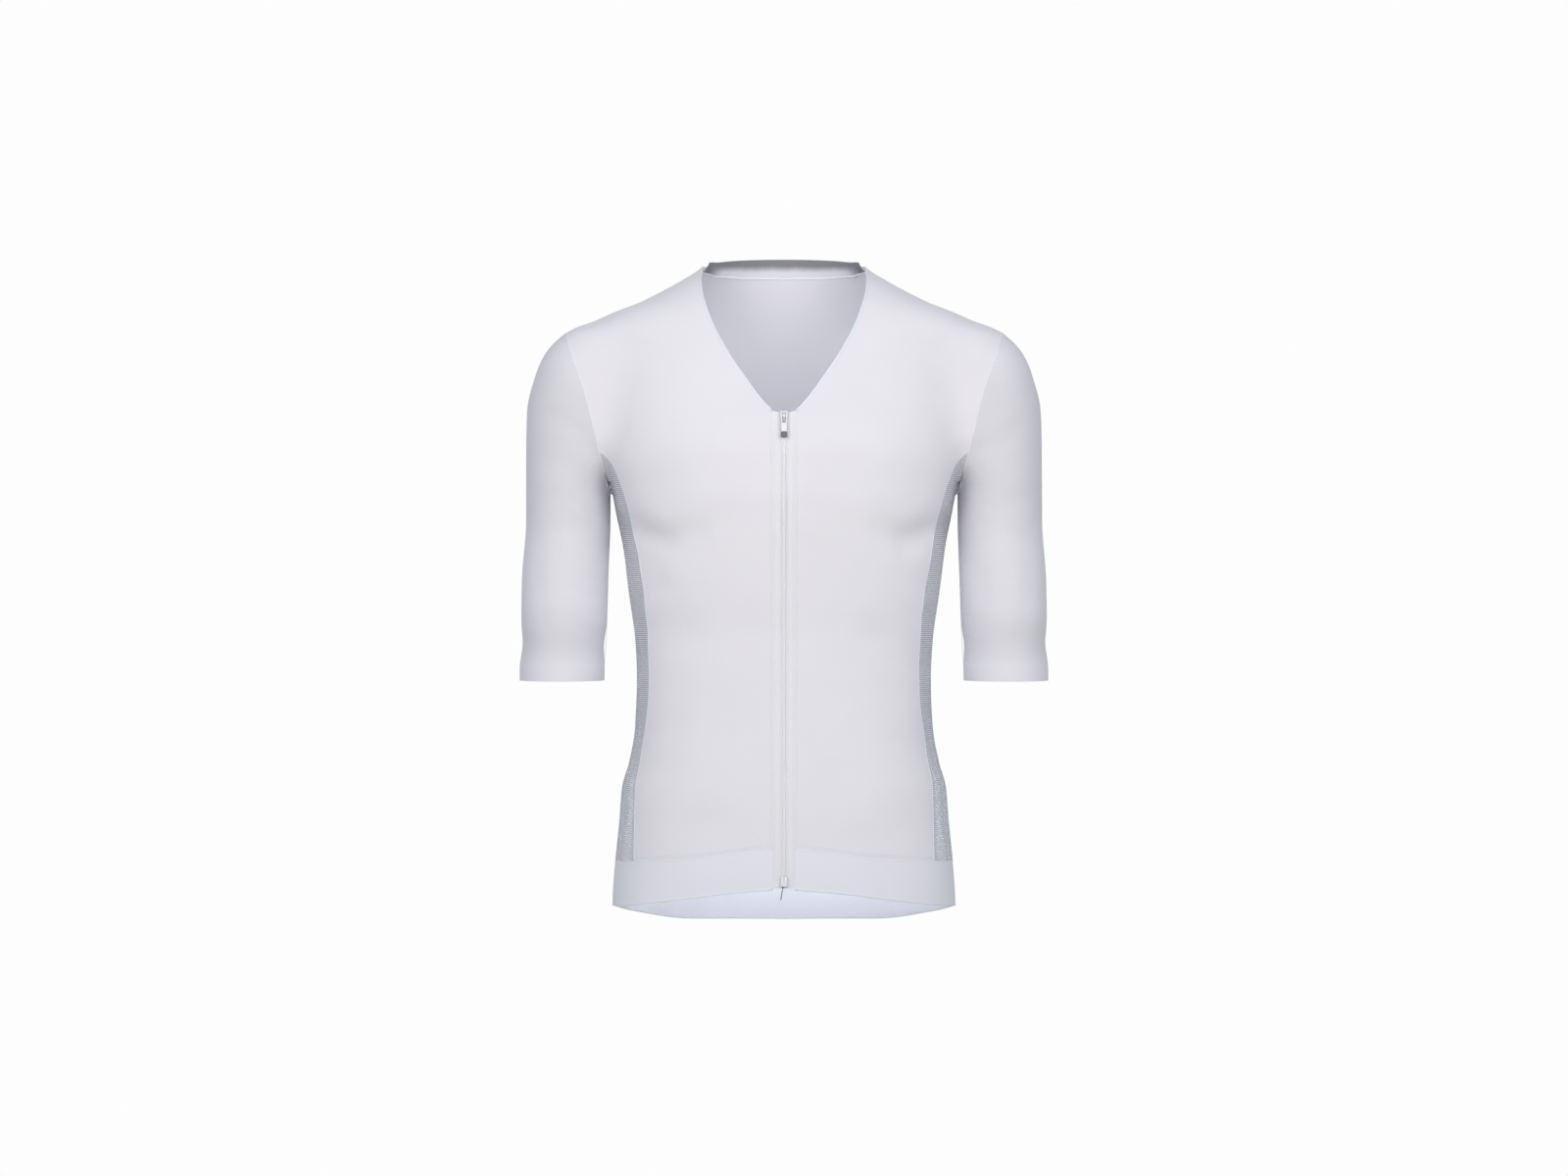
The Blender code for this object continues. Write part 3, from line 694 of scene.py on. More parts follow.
def stitches(looks, wale, course):
    """Relief of a plain knit from 0 to 1: upright rows of small V-shaped loops."""
    across, along = on_cut(looks)
    lean = across.maths("PINGPONG", wale / 2) * (course / wale)
    return across.wave(wale) * 0.6 + (along + lean).wave(course) * 0.4


def surfaced(looks, colour, roughness, relief, depth, **fixed):
    """Ends a material: colour, roughness, and relief of a depth in millimetres. fixed are other sockets."""
    raised = looks.node("Bump", {}, {"Strength": 1, "Distance": depth * MM, "Height": relief})
    values = {"Base Color": colour, "Roughness": roughness, "Normal": raised}
    values.update({socket.replace("_", " "): value for socket, value in fixed.items()})
    shader = looks.node("BsdfPrincipled", {}, values)
    looks.node("OutputMaterial", {}, {"Surface": shader})


def knit(name, light, shade, wale, course, depth, roughness):
    """A plain fine knit: two near colours in soft patches, and its stitches as relief."""
    finish, looks = started(name)
    relief = stitches(looks, wale, course)
    patches = mottled(looks, 60) * 0.5 + mottled(looks, 1.2, 1) * 0.3 + relief * 0.2
    surfaced(looks, patches.ramp(0.3, 0.75).between(shade, light), roughness + patches * 0.1, relief, depth,
             Sheen_Weight=0.15, Sheen_Roughness=0.5, Specular_IOR_Level=0.2)
    return finish


WHITE_KNIT = knit("white_knit", (0.805, 0.795, 0.83), (0.775, 0.765, 0.805), 0.8, 0.65, 0.06, 0.68)

zip_turn = turn_at(TAPE_WIDTH, HEM["seam"][0])
front_turn = turn_at(SIDE_SEAM["half_width"][0], SIDE_SEAM["height"][0])
BACK_CELLS = CELLS_SHOULDER + CELLS_BACK_NECK
stretches = ((zip_turn, front_turn, CELLS_SHOULDER), (front_turn, 180 - front_turn, CELLS_UNDERARM),
             (180 - front_turn, 180, BACK_CELLS))
hem_front, hem_side, hem_back = [hem_curve("seam", *stretch) for stretch in stretches]
armhole_front = seam(ARMHOLE_FRONT, CELLS_ARMHOLE)
shoulder_seam = seam(SHOULDER_SEAM, CELLS_SHOULDER)
neckline = seam(NECKLINE, CELLS_ARMHOLE)
front_seam = upright(hem_front[-1], armhole_front[-1], SIDE_SEAM, CELLS_SIDE_SEAM)
zip_seam = upright(hem_front[0], neckline[0], ZIP_SEAM, CELLS_SIDE_SEAM)

front = panel(hem_front, shoulder_seam, chain(zip_seam, neckline), chain(front_seam, armhole_front[::-1]))
SIDES = {"left": np.array([1, 1, 1]), "right": np.array([-1, 1, 1])}
for side, mirror in SIDES.items():
    fitted("front_" + side, *creased(front * mirror), WHITE_KNIT, "white_knit")

# ------------------------------------------------------------------------------
# Side panels: open mesh knit with fine level ribs, from the underarm to the hem band. Its grey colour is
# painted shade of the hollow behind it, darkest at mid height and paler low down and at the top. Small holes
# between the ribs let the dark of the inside through.

ARMHOLE_UNDER = ((186, -49, -185), (184, -44, -196), (180, -34, -209), (177, -18, -221), (176.5, 0, -227),
                 (177, 18, -221), (180, 35, -209), (184, 46, -196), (187, 53, -185))
ARMHOLE_BACK = ((187, 53, -185), (192, 57, -160), (199, 57, -130), (206, 53, -105), (214, 42, -82),
                (221, 14, -62))
MESH_RIB = 2.0
MESH_STITCH = 1.3
LESS_SHADE_BELOW = (350, 600)
LESS_SHADE_ABOVE = (-300, -210)

SHADED_MESH_KNIT, looks = started("grey_mesh")
across, along = on_cut(looks)
rib = along.wave(MESH_RIB)
stitch = (across + along.maths("PINGPONG", MESH_RIB) * 0.3).wave(MESH_STITCH)
hole = (1 - rib).ramp(0.55, 0.8) * stitch.ramp(0.45, 0.75)
# Painted shade: grey all over for the hollow seen through the mesh, darkest at mid height, paler low and at
# the top.
tone = rib.ramp(0.1, 0.9) * 0.7 + mottled(looks, 40) * 0.15 + (0 - along).ramp(*LESS_SHADE_BELOW) * 0.4
tone = tone + along.ramp(*LESS_SHADE_ABOVE) * 0.25
surfaced(looks, tone.between((0.49, 0.495, 0.53), (0.76, 0.77, 0.82)), 0.75, rib * 0.75 + stitch * 0.25, 0.3,
         Alpha=1 - hole * 0.9, Specular_IOR_Level=0.2)

armhole_under = seam(ARMHOLE_UNDER, CELLS_UNDERARM)
armhole_back = seam(ARMHOLE_BACK, CELLS_ARMHOLE)
back_seam = upright(hem_back[0], armhole_back[0], SIDE_SEAM, CELLS_SIDE_SEAM, -1)
under = panel(hem_side, armhole_under, front_seam, back_seam, "side")
for side, mirror in SIDES.items():
    outer, normals = creased(under * mirror, "side")
    fitted("side_" + side, outer, normals, SHADED_MESH_KNIT, "grey_mesh", along=outer[..., 2])

# ------------------------------------------------------------------------------
# Back panel: one piece of the white knit with a drop tail, and the pocket panel sewn over its lower part. The
# pocket panel is stitched down at the sides, the hem and two upright lines, and stands off a little between.

NECK_SEAM = ((81, 14, 6), (79, 36, 2), (61, 54, 1), (33, 66, 0), (0, 70, 0))
SPINE = table("height half_width", (-650, 0), (20, 0))
POCKET_MOUTH = ((138, 57, -452), (100, 78, -457), (60, 92, -463), (0, 100, -466))
CELLS_POCKET = 8 * FINER
POCKET_SEAM = 47
POCKET_LOW = 0.5
POCKET_HIGH = 3.2
POCKET_ROUND = 0.6
POCKET_OPEN = 0.7


def both_halves(half):
    """A piece that is open at the centre line, with its other half."""
    return np.concatenate([half[:, :0:-1] * SIDES["right"], half], 1)


neck_seam = seam(NECK_SEAM, CELLS_BACK_NECK)
spine = upright(hem_back[-1], neck_seam[-1], SPINE, CELLS_SIDE_SEAM + CELLS_ARMHOLE, -1)
half_back = panel(hem_back[::-1], chain(neck_seam[::-1], shoulder_seam), spine,
                  chain(back_seam, armhole_back))
fitted("back", *creased(both_halves(half_back)), WHITE_KNIT, "white_knit")

mouth = seam(POCKET_MOUTH, BACK_CELLS)[::-1]
half_pocket = panel(hem_back[::-1], mouth, upright(hem_back[-1], mouth[0], SPINE, CELLS_POCKET, -1),
                    upright(hem_back[0], mouth[-1], SIDE_SEAM, CELLS_POCKET, -1))
outer, normals = creased(both_halves(half_pocket))
rise = np.linspace(0, 1, outer.shape[0])[:, None]
out = np.abs(outer[..., 0])
edge = np.abs(outer[:, -1:, 0])
stand = np.where(out < POCKET_SEAM, np.cos(out / POCKET_SEAM * math.pi / 2),
                 np.sin(np.clip((out - POCKET_SEAM) / (edge - POCKET_SEAM), 0, 1) * math.pi))
stand = np.clip(stand, 0, 1) ** POCKET_ROUND * np.sin(rise * math.pi / 2) ** POCKET_OPEN
stand = POCKET_LOW + CLOTH + POCKET_HIGH * stand
pocket_outer, pocket_normals = outer + stand[..., None] * normals, normals
fitted("pocket_panel", pocket_outer, pocket_normals, WHITE_KNIT, "white_knit")

# ------------------------------------------------------------------------------
# Sleeves: one piece each of a knit with fine ribs across the arm, closed by a seam under the arm and set into
# the armhole. The last of it is a bonded band, smoother, lighter and a little thicker than the rest.

CUFF_HEIGHT = -417
CELLS_SLEEVE = 90
SLEEVE_RIB = 2.1
CUFF_BAND = 17
CUFF_STEP = 0.25
CUFF_GROOVE = (37, 14, 2.0)
# Painted shade on the sleeves, by distance from the cuff: a band just above it, and the upper arm.
SHADE_ABOVE_CUFF = ((14, 36), (42, 84))
SHADE_UPPER_ARM = ((130, 190), (280, 340))

RIBBED_KNIT, looks = started("ribbed_knit")
across, along = on_cut(looks)
plain = (CUFF_BAND - along).ramp(-1.0, 0.5)
rib = along.wave(SLEEVE_RIB) * (1 - plain)
fine = stitches(looks, 0.7, 0.9)
# Painted shade: the sleeve's colour is darker just above the cuff and over the upper arm.
shade_above_cuff, shade_upper_arm = [along.ramp(*start) * (1 - along.ramp(*end)) for start, end in (SHADE_ABOVE_CUFF, SHADE_UPPER_ARM)]
tone = mottled(looks, 50) * 0.5 + rib * 0.12 + plain * 0.15 - shade_above_cuff * 0.5 - shade_upper_arm * 0.6 + 0.25
surfaced(looks, tone.between((0.685, 0.68, 0.72), (0.79, 0.785, 0.83)), 0.7 - plain * 0.1,
         rib * 0.85 + fine * 0.15, 0.1, Sheen_Weight=0.15, Specular_IOR_Level=0.2)

armhole_low = chain(armhole_front, armhole_under, armhole_back)
armhole = armhole_low[:-1]
around = np.linspace(0, 2 * math.pi, len(armhole), endpoint=False)
inner, outer, deep, forward = [float(read(ARM, column, CUFF_HEIGHT)) for column in
                               ("inner", "outer", "half_depth", "forward")]
cuff = np.stack([(inner + outer) / 2 + (outer - inner) / 2 * np.cos(around),
                 -forward - deep * np.sin(around), np.full(len(around), CUFF_HEIGHT)], -1)
start = CELLS_ARMHOLE + CELLS_UNDERARM // 2
armhole, cuff = [np.concatenate([ring[start:], ring[:start + 1]]) for ring in (armhole, cuff)]
sleeve = ruled(cuff, armhole, CELLS_SLEEVE)
sleeve[1:-1] = settle(sleeve[1:-1], "sleeve")
place, width, depth = CUFF_GROOVE
for side, mirror in SIDES.items():
    outer, normals = creased(sleeve * mirror, "sleeve")
    along = lengths(outer, 0)
    lift = CUFF_STEP * np.clip(CUFF_BAND - along + 0.5, 0, 1)
    lift -= depth * np.exp(-((along - place) / width) ** 2)
    outer += lift[..., None] * normals
    fitted("sleeve_" + side, outer, normals, RIBBED_KNIT, "ribbed_knit", along=along)

# ------------------------------------------------------------------------------
# Neck band and hem band: dense elastic knit. The neck band is a low stand round the back of the neck, from
# shoulder seam to shoulder seam. The hem band grips the hips and is open at the zip.

NECK_TOP = ((78, 12, 12), (73, 32, 14), (56, 48, 16.5), (31, 59, 18.3), (0, 63, 19))
CELLS_NECK_BAND = 6
CELLS_HEM_BAND = 12
BAND_THICK = 0.9
NECK_RISE = 19.5
# Painted shade inside the neck band: where it fades out, down from the top and in from each end.
NECK_SHADE_FADE = (5, 14)
END_SHADE_FADE = (12, 38)
END_DROP = 1.4
END_DROP_REACH = 9

BAND_KNIT = knit("band_knit", (0.81, 0.812, 0.868), (0.785, 0.788, 0.848), 0.55, 0.5, 0.04, 0.55)

# Inside, the neck band has painted shade: grey along its top and at its two ends, fading to white lower down.
NECK_LINING_PAINTED_SHADE, looks = started("neck_lining_painted_shade")
across, along = on_cut(looks)
white = (NECK_RISE - along + mottled(looks, 8) * 2 - 1).ramp(*NECK_SHADE_FADE) * across.ramp(*END_SHADE_FADE)
relief = stitches(looks, 0.55, 0.5)
surfaced(looks, white.between((0.25, 0.25, 0.26), (0.75, 0.75, 0.79)), 0.6, relief, 0.04,
         Specular_IOR_Level=0.2)

neck_top = seam(NECK_TOP, CELLS_BACK_NECK)
half_band = settle(ruled(neck_seam[::-1], neck_top[::-1], CELLS_NECK_BAND))
rise = np.linspace(0, 1, CELLS_NECK_BAND + 1)[:, None]
from_end = walked(neck_top)[::-1]
half_band[..., 2] -= END_DROP * rise * np.exp(-from_end / END_DROP_REACH)
outer, normals = creased(both_halves(half_band))
across = lengths(outer, 1)
across = np.minimum(across, across[:, -1:] - across)
fitted("neck_band", outer, normals, BAND_KNIT, "band_knit", across=across, thick=BAND_THICK,
       lining=NECK_LINING_PAINTED_SHADE)

edge_front, edge_side, edge_back = [hem_curve("edge", *stretch) for stretch in stretches]
hem_top = chain(hem_front, hem_side, hem_back)
hem_edge = chain(edge_front, edge_side, edge_back)
half_hem = ruled(hem_edge, hem_top, CELLS_HEM_BAND)[:, ::-1]
half_hem[1:-1] = settle(half_hem[1:-1])
fitted("hem_band", *creased(both_halves(half_hem)), BAND_KNIT, "band_knit", thick=BAND_THICK)

# ------------------------------------------------------------------------------
# Zip tapes: two strips of fine woven tape down the front, from the V neck to the hem's edge, stitched to the
# front panels and to the hem band.

TAPE_CELLS = 6

TAPE_WEAVE, looks = started("tape_weave")
across, along = on_cut(looks)
twill = (across + along.maths("PINGPONG", 1.2) * 1.5).wave(0.8)
tone = mottled(looks, 2.5) * 0.5 + twill * 0.5
surfaced(looks, tone.between((0.80, 0.80, 0.83), (0.87, 0.87, 0.90)), 0.6, twill, 0.08,
         Specular_IOR_Level=0.25)


def on_tapes(height):
    """Depth of the tapes' outer face at a height."""
    return -read(TRUNK, "front", np.asarray(height, float))


tape_side = chain(half_hem[:, -1], zip_seam)
tape_middle = tape_side * (0, 1, 1)
tape_middle[-1, 2] -= TAPE_DIP
tape_middle[:, 1] = on_tapes(tape_middle[:, 2])
tape = ruled(tape_middle, tape_side, TAPE_CELLS).swapaxes(0, 1)
tape[:, 1:-1] = settle(tape[:, 1:-1])
for side, mirror in SIDES.items():
    fitted("zip_tape_" + side, *creased(tape * mirror), TAPE_WEAVE, "tape_weave")

# ------------------------------------------------------------------------------
# Seams and stitching. Two cloths are overlocked face to face: outside, a seam is one fine raised white line,
# and inside it is a narrow strip of both edges, bound with thread. Small stitches hold the tapes, the bands
# and the pockets.

LINE_PROFILE = ((-0.6, -0.35), (-0.4, -0.05), (-0.15, 0.1), (0.15, 0.1), (0.4, -0.05), (0.6, -0.35))
FINE_PROFILE = ((-0.45, -0.3), (-0.3, 0.02), (0.0, 0.12), (0.3, 0.02), (0.45, -0.3), (0.0, -0.35))
STRIP_PROFILE = ((-0.8, -0.75), (4.6, -0.75), (5.0, -1.1), (4.6, -1.6), (0.6, -1.75), (-0.6, -1.4))
CORD_PROFILE = ((-0.7, -0.7), (0.7, -0.7), (0.9, -1.6), (0.45, -2.5), (-0.35, -2.4), (-0.8, -1.5))
EDGE_PROFILE = ((-0.3, -0.2), (0.1, 0.04), (1.7, 0.03), (2.0, -0.2), (1.8, -1.05), (0.1, -1.0), (-0.3, -0.6))


def twisted(name, dark, pale, pitch, roughness, depth, **fixed):
    """The looks of twisted thread or cord."""
    finish, looks = started(name)
    across, along = on_cut(looks)
    twist = (across * 0.8 + along).wave(pitch)
    surfaced(looks, twist.between(dark, pale), roughness, twist, depth, **fixed)
    return finish


THREAD = twisted("thread", (0.76, 0.76, 0.78), (0.88, 0.88, 0.90), 1.5, 0.5, 0.12, Sheen_Weight=0.1)
CORD = twisted("cord", (0.90, 0.90, 0.92), (0.97, 0.97, 0.98), 1.5, 0.5, 0.08)
DARK_THREAD = twisted("dark_thread", (0.06, 0.06, 0.065), (0.14, 0.14, 0.15), 1.2, 0.55, 0.1)

BINDING, looks = started("binding")
across, along = on_cut(looks)
loop = (along + across * 0.35).wave(1.7)
tone = loop * 0.7 + mottled(looks, 4) * 0.3
surfaced(looks, tone.between((0.66, 0.66, 0.69), (0.86, 0.86, 0.89)), 0.65, loop, 0.25)


def laid(curve, side="left", part="whole", out=0.0, over=0.0):
    """A line on the creased cloth, moved sideways by out and outward by over: points, outward, sideways."""
    mirror = SIDES[side]
    points, normals = creased(curve * mirror, part)
    aside = unit(np.cross(np.gradient(points, axis=0), normals)) * mirror[0]
    return points + out * aside + over * normals, normals, aside


def joined(name, bundles, finish):
    """Many closed tubes as one mesh. A bundle holds like tubes: tube, ring along it, point round the ring."""
    points, faces, places, used = [], [], [], 0
    for rings in bundles:
        index = used + np.arange(rings[..., 0].size).reshape(rings.shape[:3])
        used += index.size
        beside = np.roll(index, -1, 2)
        quads = np.stack([index[:, :-1], beside[:, :-1], beside[:, 1:], index[:, 1:]], -1).reshape(-1, 4)
        faces += quads.tolist() + index[:, 0, ::-1].tolist() + index[:, -1].tolist()
        way = np.concatenate([walked(tube.mean(1)) for tube in rings]).reshape(index.shape[:2])[..., None]
        girth = walked(rings[0, 0])
        places.append(np.stack([girth + 0 * way, way + 0 * girth], -1).reshape(-1, 2))
        points.append(rings.reshape(-1, 3))
    mesh = mapped_mesh(name, np.concatenate(points), faces, np.concatenate(places))
    shape = bmesh.new()
    shape.from_mesh(mesh)
    bmesh.ops.recalc_face_normals(shape, faces=shape.faces)
    shape.to_mesh(mesh)
    shape.free()
    dressed(new_object(name, mesh), finish)


def strips(name, runs, profile, finish=THREAD):
    """A profile of (sideways, outward) swept along each run."""
    profile = np.array(profile, float)
    rings = [points[:, None] + profile[:, :1] * aside[:, None] + profile[:, 1:] * normals[:, None]
             for points, normals, aside in runs]
    joined(name, [ring[None] for ring in rings], finish)


STITCH_ALONG = np.array((-0.5, -0.38, 0, 0.38, 0.5))[:, None]
STITCH_GIRTH = np.array((0.35, 0.9, 1, 0.9, 0.35))[:, None]
STITCH_RISE = np.array((-0.6, 0.1, 0.3, 0.1, -0.6))[:, None]
STITCH_ROUND = np.linspace(0, 2 * math.pi, 5, endpoint=False)[None]


def stitched(name, runs, pitch, length, width=0.42, height=0.34, finish=THREAD):
    """Rows of short stitches that dip into the cloth at both ends."""
    bundles = []
    for line in runs:
        way = walked(line[0])
        at = np.arange(pitch / 2, way[-1], pitch)
        points, normals, aside = [np.stack([np.interp(at, way, part[:, i]) for i in range(3)], -1)
                                  for part in line]
        ahead, aside = unit(np.cross(normals, aside)), unit(aside)
        shape = [STITCH_ALONG * length + 0 * STITCH_ROUND, STITCH_GIRTH * np.cos(STITCH_ROUND) * width / 2,
                 STITCH_GIRTH * np.sin(STITCH_ROUND) * height / 2 + STITCH_RISE * height / 2]
        bundles.append(points[:, None, None] + sum(
            size[None, ..., None] * way[:, None, None] for size, way in zip(shape, (ahead, aside, normals))))
    joined(name, bundles, finish)


def on_both(curve, part="whole", out=0.0, over=0.0):
    return [laid(curve, side, part, out, over) for side in SIDES]


def whole(half):
    """A line from the left to the middle, with its other half."""
    return chain(half, half[::-1] * SIDES["right"])


ON_CLOTH = 0.05
UNDERARM_SEAM = 200
CORD_RISE = table("from_end rise", (0, -6.5), (10, -3), (22, 1.6), (40, 1.6), (60, 0.9), (90, 0))
SHADE_SHEET_CELLS = 14
SHADE_SHEETS_IN_HALF = 6
SHADE_SHEET_ROWS = 4
SHADE_SHEET_DEPTH = 0.95
SHADE_SHEET_THICK = 0.3
SHADE_SHEET_LEAST = 0.05
DARK_STRETCH = (2, 44)
DARK_DEPTH = 1.75
TAPE_ROWS = (3.6, 9.6)
FRONT_ROW = 1.6
HEM_ROWS = (-2.4, -4.6)
POCKET_PAIR = (-0.9, 0.9)
POCKET_HEM_ROWS = (-3, -5)

# A stitch is its pitch and its length, and the dark one its width and height too.
TAPE_STITCH = (2.7, 1.9)
BAND_STITCH = (2.8, 2.0)
DARK_STITCH = (2.9, 1.5, 0.5, 0.5)

cuff_ring = sleeve[::-1, 0]
seam_lines = {
    "side": on_both(front_seam) + on_both(back_seam),
    "armhole": on_both(armhole_low),
    "underarm": on_both(cuff_ring[:-int(CELLS_SLEEVE * CUFF_BAND / UNDERARM_SEAM)], "sleeve"),
    "shoulder": on_both(shoulder_seam),
}
strips("side_seams", seam_lines["side"], LINE_PROFILE)
strips("armhole_seams", seam_lines["armhole"] + seam_lines["underarm"], LINE_PROFILE)
strips("shoulder_seams", seam_lines["shoulder"], FINE_PROFILE)
strips("side_bindings", seam_lines["side"], STRIP_PROFILE, BINDING)
strips("armhole_bindings", seam_lines["armhole"] + seam_lines["shoulder"], STRIP_PROFILE, BINDING)

# The neck seam is bound inside with a narrow white cord, with a few dark stitches near its left end. Where the
# cord hangs lower, at its ends, small sheets of painted shade in the lining's grey reach down to it. The V
# neck and the hem have turned, bonded edges.
whole_neck = whole(neck_seam)
neck_way = walked(whole_neck)
from_end = np.minimum(neck_way, neck_way[-1] - neck_way)
cord_rise = read(CORD_RISE, "rise", from_end)[:, None]
strips("neck_cord", [laid(whole_neck, out=-cord_rise)], CORD_PROFILE, CORD)
neck_end = spaced(neck_seam, SHADE_SHEET_CELLS * SHADE_SHEETS_IN_HALF)[:SHADE_SHEET_CELLS]
shade_sheet_drop = SHADE_SHEET_LEAST - read(CORD_RISE, "rise", walked(neck_end))
shade_sheet_drop = np.maximum(shade_sheet_drop, SHADE_SHEET_LEAST)[:, None]
# Painted shade: each sheet is wholly the grey of the lining and stands for the shade at the band's ends.
for side in SIDES:
    rows = [laid(neck_end, side, out=share * shade_sheet_drop, over=-SHADE_SHEET_DEPTH)[:2]
            for share in np.linspace(0, 1, SHADE_SHEET_ROWS + 1)]
    outer, normals = [np.stack(part) for part in zip(*rows)]
    cloth("neck_shade_sheet_" + side, outer, normals, NECK_LINING_PAINTED_SHADE, "band_knit", along=0 * outer[..., 0],
          across=0 * outer[..., 0], thick=SHADE_SHEET_THICK)
strips("neck_seam_line", [laid(whole_neck)], FINE_PROFILE)
strips("neckline_edges", on_both(neckline), EDGE_PROFILE, BAND_KNIT)
near = (neck_way > DARK_STRETCH[0]) & (neck_way < DARK_STRETCH[1])
stitched("label_stitches", [laid(whole_neck[near], over=-DARK_DEPTH)], *DARK_STITCH, DARK_THREAD)
whole_hem = whole(hem_top)
strips("hem_seam_line", [laid(whole_hem)], LINE_PROFILE)
strips("hem_binding", [laid(whole_hem)], STRIP_PROFILE, BINDING)
strips("hem_edge", [laid(whole(hem_edge))], EDGE_PROFILE, BAND_KNIT)

# Rows of lockstitch: beside the zip coil and near the tapes' edges, twice round the hem, and on the pockets.
tape_rows = []
for out in TAPE_ROWS:
    line = tape_side[2:-2] * (out / TAPE_WIDTH, 1, 1)
    line[:, 1] = on_tapes(line[:, 2])
    tape_rows += on_both(settle(line), over=ON_CLOTH)
stitched("tape_stitches", tape_rows, *TAPE_STITCH)
front_row = settle(zip_seam[2:-2] + (FRONT_ROW, 0, 0))
stitched("zip_stitches", on_both(front_row, over=ON_CLOTH), *TAPE_STITCH)
stitched("hem_stitches", [laid(whole_hem, out=out, over=ON_CLOTH) for out in HEM_ROWS], *BAND_STITCH)


def on_pocket(points, normals, out=0.0):
    """A row or a column of the pocket panel's outer face, moved sideways by out."""
    aside = unit(np.cross(np.gradient(points, axis=0), normals))
    return points + normals * ON_CLOTH + out * aside, normals, aside


pocket_rows = []
for seam_out in (-POCKET_SEAM, POCKET_SEAM):
    column = np.argmin(np.abs(pocket_outer[0, :, 0] - seam_out))
    pocket_rows += [on_pocket(pocket_outer[:, column], pocket_normals[:, column], out) for out in POCKET_PAIR]
pocket_rows += [on_pocket(pocket_outer[row], pocket_normals[row]) for row in POCKET_HEM_ROWS]
stitched("pocket_stitches", pocket_rows, *BAND_STITCH)

# ------------------------------------------------------------------------------
# Zip coil: one fine nylon wire on each tape, wound into level loops that hook into each other. A short dark
# tail hangs under the box.

COIL_TOP = -158.5
COIL_FOOT = -608
COIL_PITCH = 1.75
COIL_CENTRE = 0.8
COIL_REACH = 1.0
COIL_RISE = 0.4
COIL_WIRE = 0.26
COIL_CORE = 0.45
CORE_WIDTH = 1.5
CORE_RINGS = 160
CORE_SIDES = 6
COIL_POINTS = 10
TAIL = ((-0.6, -0.7, -615), (-1.4, -1.0, -619), (-2.2, -0.9, -624), (-3.2, -0.6, -630))
TAIL_WIRE = 0.5
TAIL_CELLS = 12


def plastic(name, dark, pale, patches, roughness, uneven, depth, **fixed):
    """The looks of a moulded or drawn plastic, in two near colours with patches of a size."""
    finish, looks = started(name)
    tone = mottled(looks, patches)
    roughness = roughness + tone * uneven if uneven else roughness
    surfaced(looks, tone.between(dark, pale), roughness, tone, depth, **fixed)
    return finish


COIL_NYLON = plastic("coil_nylon", (0.86, 0.86, 0.88), (0.93, 0.93, 0.95), 3, 0.4, 0, 0.02,
                     Specular_IOR_Level=0.4)


def wire(path, radius, sides=5):
    """A round tube along a path that doesn't run straight up."""
    ahead = unit(np.gradient(path, axis=0))
    aside = unit(np.cross(ahead, (0, 0, 1)))
    up = np.cross(aside, ahead)
    turn = np.linspace(0, 2 * math.pi, sides, endpoint=False)[None, :, None]
    return path[:, None] + radius * (np.cos(turn) * aside[:, None] + np.sin(turn) * up[:, None])


turns = (COIL_TOP - COIL_FOOT) / COIL_PITCH
turn = np.arange(int(turns * COIL_POINTS)) * 2 * math.pi / COIL_POINTS
coils = []
for side, mirror in SIDES.items():
    height = COIL_TOP - turn / (2 * math.pi) * COIL_PITCH - (COIL_PITCH / 2 if side == "right" else 0)
    depth = on_tapes(height) - COIL_RISE - COIL_WIRE + COIL_RISE * np.sin(turn)
    out = mirror[0] * (COIL_CENTRE + COIL_REACH * np.cos(turn))
    coils.append(wire(np.stack([out, depth, height], -1), COIL_WIRE))
    height = np.linspace(COIL_TOP, COIL_FOOT, CORE_RINGS)
    depth = on_tapes(height) - COIL_CORE
    core = np.stack([mirror[0] * COIL_CENTRE + 0 * height, depth, height], -1)
    around = np.linspace(0, 2 * math.pi, CORE_SIDES, endpoint=False)[:, None]
    ring = np.cos(around) * (CORE_WIDTH, 0, 0) + np.sin(around) * (0, 1, 0)
    coils.append(core[:, None] + COIL_CORE * ring)
joined("zip_coil", [coil[None] for coil in coils], COIL_NYLON)
tail = np.array(TAIL, float)
tail[:, 1] += on_tapes(tail[:, 2])
joined("dark_tail", [wire(spaced(tail, TAIL_CELLS), TAIL_WIRE, 6)[None]], DARK_THREAD)

# ------------------------------------------------------------------------------
# Slider, pull, grip and box: small moulded pieces. The slider is white, with open slots over a dark grey core,
# partly its dark channel and partly painted shade. Its bridge holds the crossbar of the pull, a white strap
# that ends in a grey rubber grip.

SLIDER_HEIGHT = -155.5
SLIDER_DEPTH = 3.6
SLIDER_LENGTH = 11.0
SLIDER_FOOT = 0.76
SLIDER_OFF = 0.3
BRIDGE_RISE = 3.5
PULL_AXIS_RISE = 1.2
PULL_LEAN = 3
PULL_FOOT = -15.65
GRIP_TOP = -15.95
BOX_HEIGHT = -612
TILT_REACH = 5.0
SHARP = 50

WHITE_PLASTIC = plastic("white_plastic", (0.78, 0.78, 0.80), (0.86, 0.86, 0.88), 2, 0.32, 0.1, 0.02,
                        Coat_Weight=0.1)
# Grey rubber of the grip, and the slider's core, which is partly painted shade.
GREY_PLASTIC_AND_SHADE = plastic("grey_plastic", (0.12, 0.12, 0.13), (0.20, 0.20, 0.21), 0.6, 0.5, 0.15, 0.04)
PALE_GREY = plastic("pale_grey_plastic", (0.40, 0.40, 0.41), (0.50, 0.50, 0.51), 0.6, 0.5, 0, 0.03)


